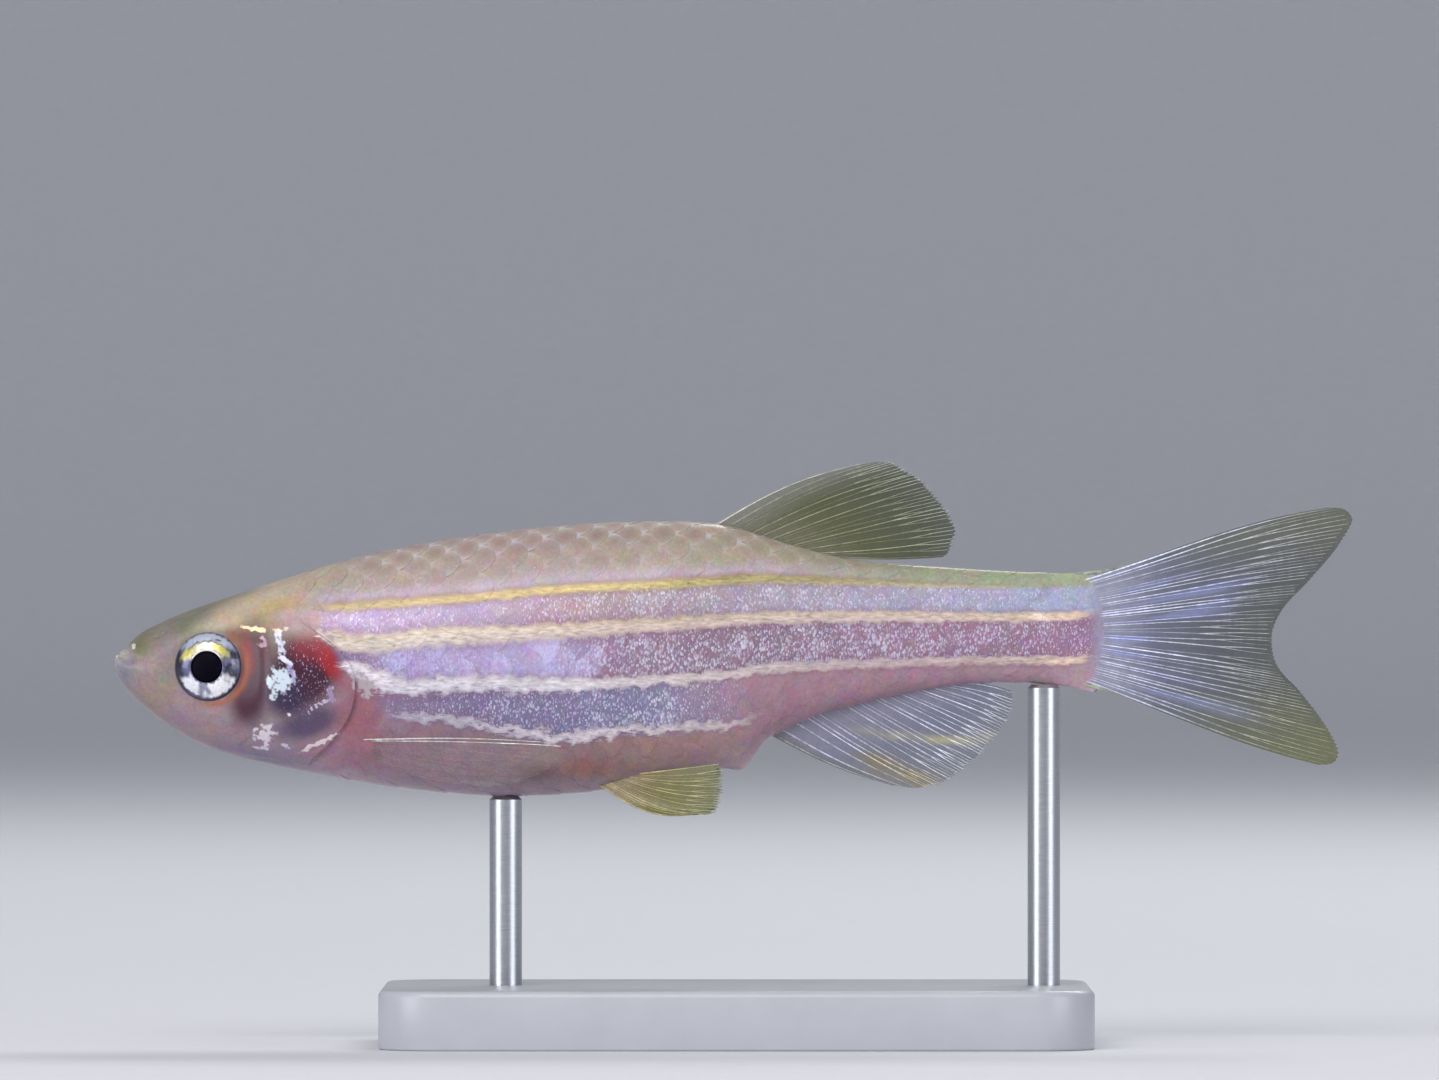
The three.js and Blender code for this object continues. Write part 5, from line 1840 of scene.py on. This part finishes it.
# which edges, how far they are cut back and in how many steps
bevels = [
    (lambda first, second: abs((first - second).z) > 1, 2, 10),
    (lambda first, second: min(first.z, second.z) > base_high.z - 1e-4, 0.22, 4),
    (lambda first, second: max(first.z, second.z) < base_low.z + 1e-4, 0.08, 2),
]
for picked, offset, segments in bevels:
    edges = [edge for edge in bm.edges if picked(*(vertex.co for vertex in edge.verts))]
    cut = {"offset": offset, "segments": segments, "profile": 0.5}
    bmesh.ops.bevel(bm, geom=edges, material=-1, affect="EDGES", **cut)
bmesh.ops.recalc_face_normals(bm, faces=bm.faces[:])
bmesh.ops.scale(bm, vec=(MM, MM, MM), verts=bm.verts[:])
base_mesh = mesh_from(bm, "base")

acrylic, tree, where = new_material("acrylic_satin_grey")
haze = add(tree, "ShaderNodeTexNoise", {"Vector": where, "Scale": 0.6, "Detail": 4.0})
tone = add(
    tree, "ShaderNodeMix", {"Factor": haze, "A": rgba("#a9acb3"), "B": rgba("#b5b8be")}, data_type="RGBA"
)
satin = add(tree, "ShaderNodeMapRange", {"Value": haze, "To Min": 0.26, "To Max": 0.4})
grit = add(tree, "ShaderNodeTexNoise", {"Vector": where, "Scale": 12.0, "Detail": 2.0})
bump = add(tree, "ShaderNodeBump", {"Height": grit, "Strength": 0.08, "Distance": 0.02 * MM})
surface = add(
    tree,
    "ShaderNodeBsdfPrincipled",
    {"Base Color": tone, "Roughness": satin, "Normal": bump, "IOR": 1.49},
)
add(tree, "ShaderNodeOutputMaterial", {"Surface": surface})
show(base_mesh, "base", acrylic, ["stand_base"])

steel, tree, where = new_material("steel_brushed")
lines = add(tree, "ShaderNodeMapping", {"Vector": where, "Scale": (1, 1, 14)})
brushed = add(tree, "ShaderNodeTexNoise", {"Vector": lines, "Scale": 2.5, "Detail": 3.0})
sheen = add(tree, "ShaderNodeMapRange", {"Value": brushed, "To Min": 0.22, "To Max": 0.42})
tone = add(
    tree,
    "ShaderNodeMix",
    {"Factor": brushed, "A": rgba("#9a9da2"), "B": rgba("#c4c7cb")},
    data_type="RGBA",
)
surface = add(tree, "ShaderNodeBsdfPrincipled", {"Base Color": tone, "Metallic": 1.0, "Roughness": sheen})
add(tree, "ShaderNodeOutputMaterial", {"Surface": surface})

rod_overlap, rod_chamfer = 0.28, 0.12
for name in ("front", "rear"):
    low, high = (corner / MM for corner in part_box(f"stand_rod_{name}"))
    middle = (low + high) / 2
    thick = (high.x - low.x) / 2
    top = high.z + rod_overlap
    rounded = [(thick, top - rod_chamfer), (thick - rod_chamfer, top)]
    outline = [(0, low.z), (thick, low.z), *rounded, (0, top)]
    mesh = spun(outline, f"rod_{name}", 0, 48)
    set_metres(mesh, points_of(mesh) + np.array([middle.x, middle.y, 0]))
    show(mesh, f"rod_{name}", steel, [f"stand_rod_{name}"])
    mesh.set_sharp_from_angle(angle=math.radians(40))

# %% [markdown]
# ## Floor, light and camera
# The model stands on a pale matt floor that rises to a wall far off on all sides, like a shallow
# bowl, so no edge shows from any side, and the bowl is wide enough for a long lens inside it. A
# large soft lamp above and in front gives the broad light of an aquarium hood, one on either side
# fills the flanks, and one from behind draws the edge of the back and fins. The camera is level
# and far away with a long lens, as for the photograph.

# %% Floor, light and camera
floor_radius, wall_radius, wall_height = 930.0, 1200.0, 1350.0
bend, bend_steps = wall_radius - floor_radius, 12
bowl = [(0.0, 0.0), (floor_radius, 0.0)]
for i in range(1, bend_steps + 1):
    turn = math.pi / 2 * i / bend_steps
    bowl.append((floor_radius + bend * math.sin(turn), bend * (1 - math.cos(turn))))
bowl.append((wall_radius, wall_height))
floor_mesh = spun(bowl, "floor", 0)
set_metres(floor_mesh, points_of(floor_mesh))
floor = bpy.data.objects.new("floor", floor_mesh)
bpy.context.scene.collection.objects.link(floor)
floor.data.shade_smooth()

paper, tree, where = new_material("backdrop_paper")
grain = add(tree, "ShaderNodeTexNoise", {"Vector": where, "Scale": 0.8, "Detail": 3.0})
tone = add(
    tree, "ShaderNodeMix", {"Factor": grain, "A": rgba("#d2d3d8"), "B": rgba("#d8d9dd")}, data_type="RGBA"
)
surface = add(tree, "ShaderNodeBsdfPrincipled", {"Base Color": tone, "Roughness": 0.8})
add(tree, "ShaderNodeOutputMaterial", {"Surface": surface})
floor.data.materials.append(paper)
floor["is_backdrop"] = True


def lamp(name, place, target, width, length, power, colour):
    """A soft rectangular lamp, aimed at a point. All in millimetres and watts."""
    data = bpy.data.lights.new(name, "AREA")
    data.shape = "RECTANGLE"
    data.size, data.size_y = width * MM, length * MM
    data.energy = power
    data.color = linear(colour)
    light = bpy.data.objects.new(name, data)
    light.location = Vector(place) * MM
    direction = (Vector(target) - Vector(place)).normalized()
    light.rotation_euler = direction.to_track_quat("-Z", "Y").to_euler()
    bpy.context.scene.collection.objects.link(light)


middle_of_fish = (0, 0, axis_height)
lamp("hood", (-110, -340, 270), middle_of_fish, 300, 220, 1.15, "#fffaf4")
lamp("fill_left", (-400, -290, 50), middle_of_fish, 260, 220, 1.1, "#f4f5ff")
lamp("fill_right", (380, -310, 50), middle_of_fish, 260, 220, 0.9, "#f4f5ff")
lamp("rim", (160, 330, 330), middle_of_fish, 320, 120, 0.9, "#ffffff")

world = bpy.data.worlds.new("studio")
world.use_nodes = True
sky = world.node_tree.nodes["Background"]
sky.inputs["Color"].default_value = rgba("#c9ccd2")
sky.inputs["Strength"].default_value = 0.9
bpy.context.scene.world = world
bpy.context.scene.view_settings.view_transform = "Standard"

frame_middle = Vector((-0.57, 0, 17.06)) * MM
frame_width = 48.68 * MM
focal_length, sensor_width = 400.0, 36.0
camera_data = bpy.data.cameras.new("camera")
camera_data.lens = focal_length
camera_data.sensor_width = sensor_width
camera = bpy.data.objects.new("camera", camera_data)
camera_distance = frame_width * focal_length / sensor_width
camera.location = frame_middle + Vector((0, -camera_distance, 0))
camera.rotation_euler = (math.pi / 2, 0, 0)
camera_data.clip_start = 0.01
bpy.context.scene.collection.objects.link(camera)
bpy.context.scene.camera = camera
print(f"camera {camera_distance * 1000:.0f} mm away")

# %% [markdown]
# ## Sizes
# The dressed model should keep the size of the solids, so both boxes are printed.

# %% Sizes
dressed_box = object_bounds()
boxes = {"cad": [list(corner) for corner in cad_box], "visual": [list(corner) for corner in dressed_box]}
for name, (low, high) in boxes.items():
    print(name, [round((b - a) / MM, 2) for a, b in zip(low, high)], "mm")
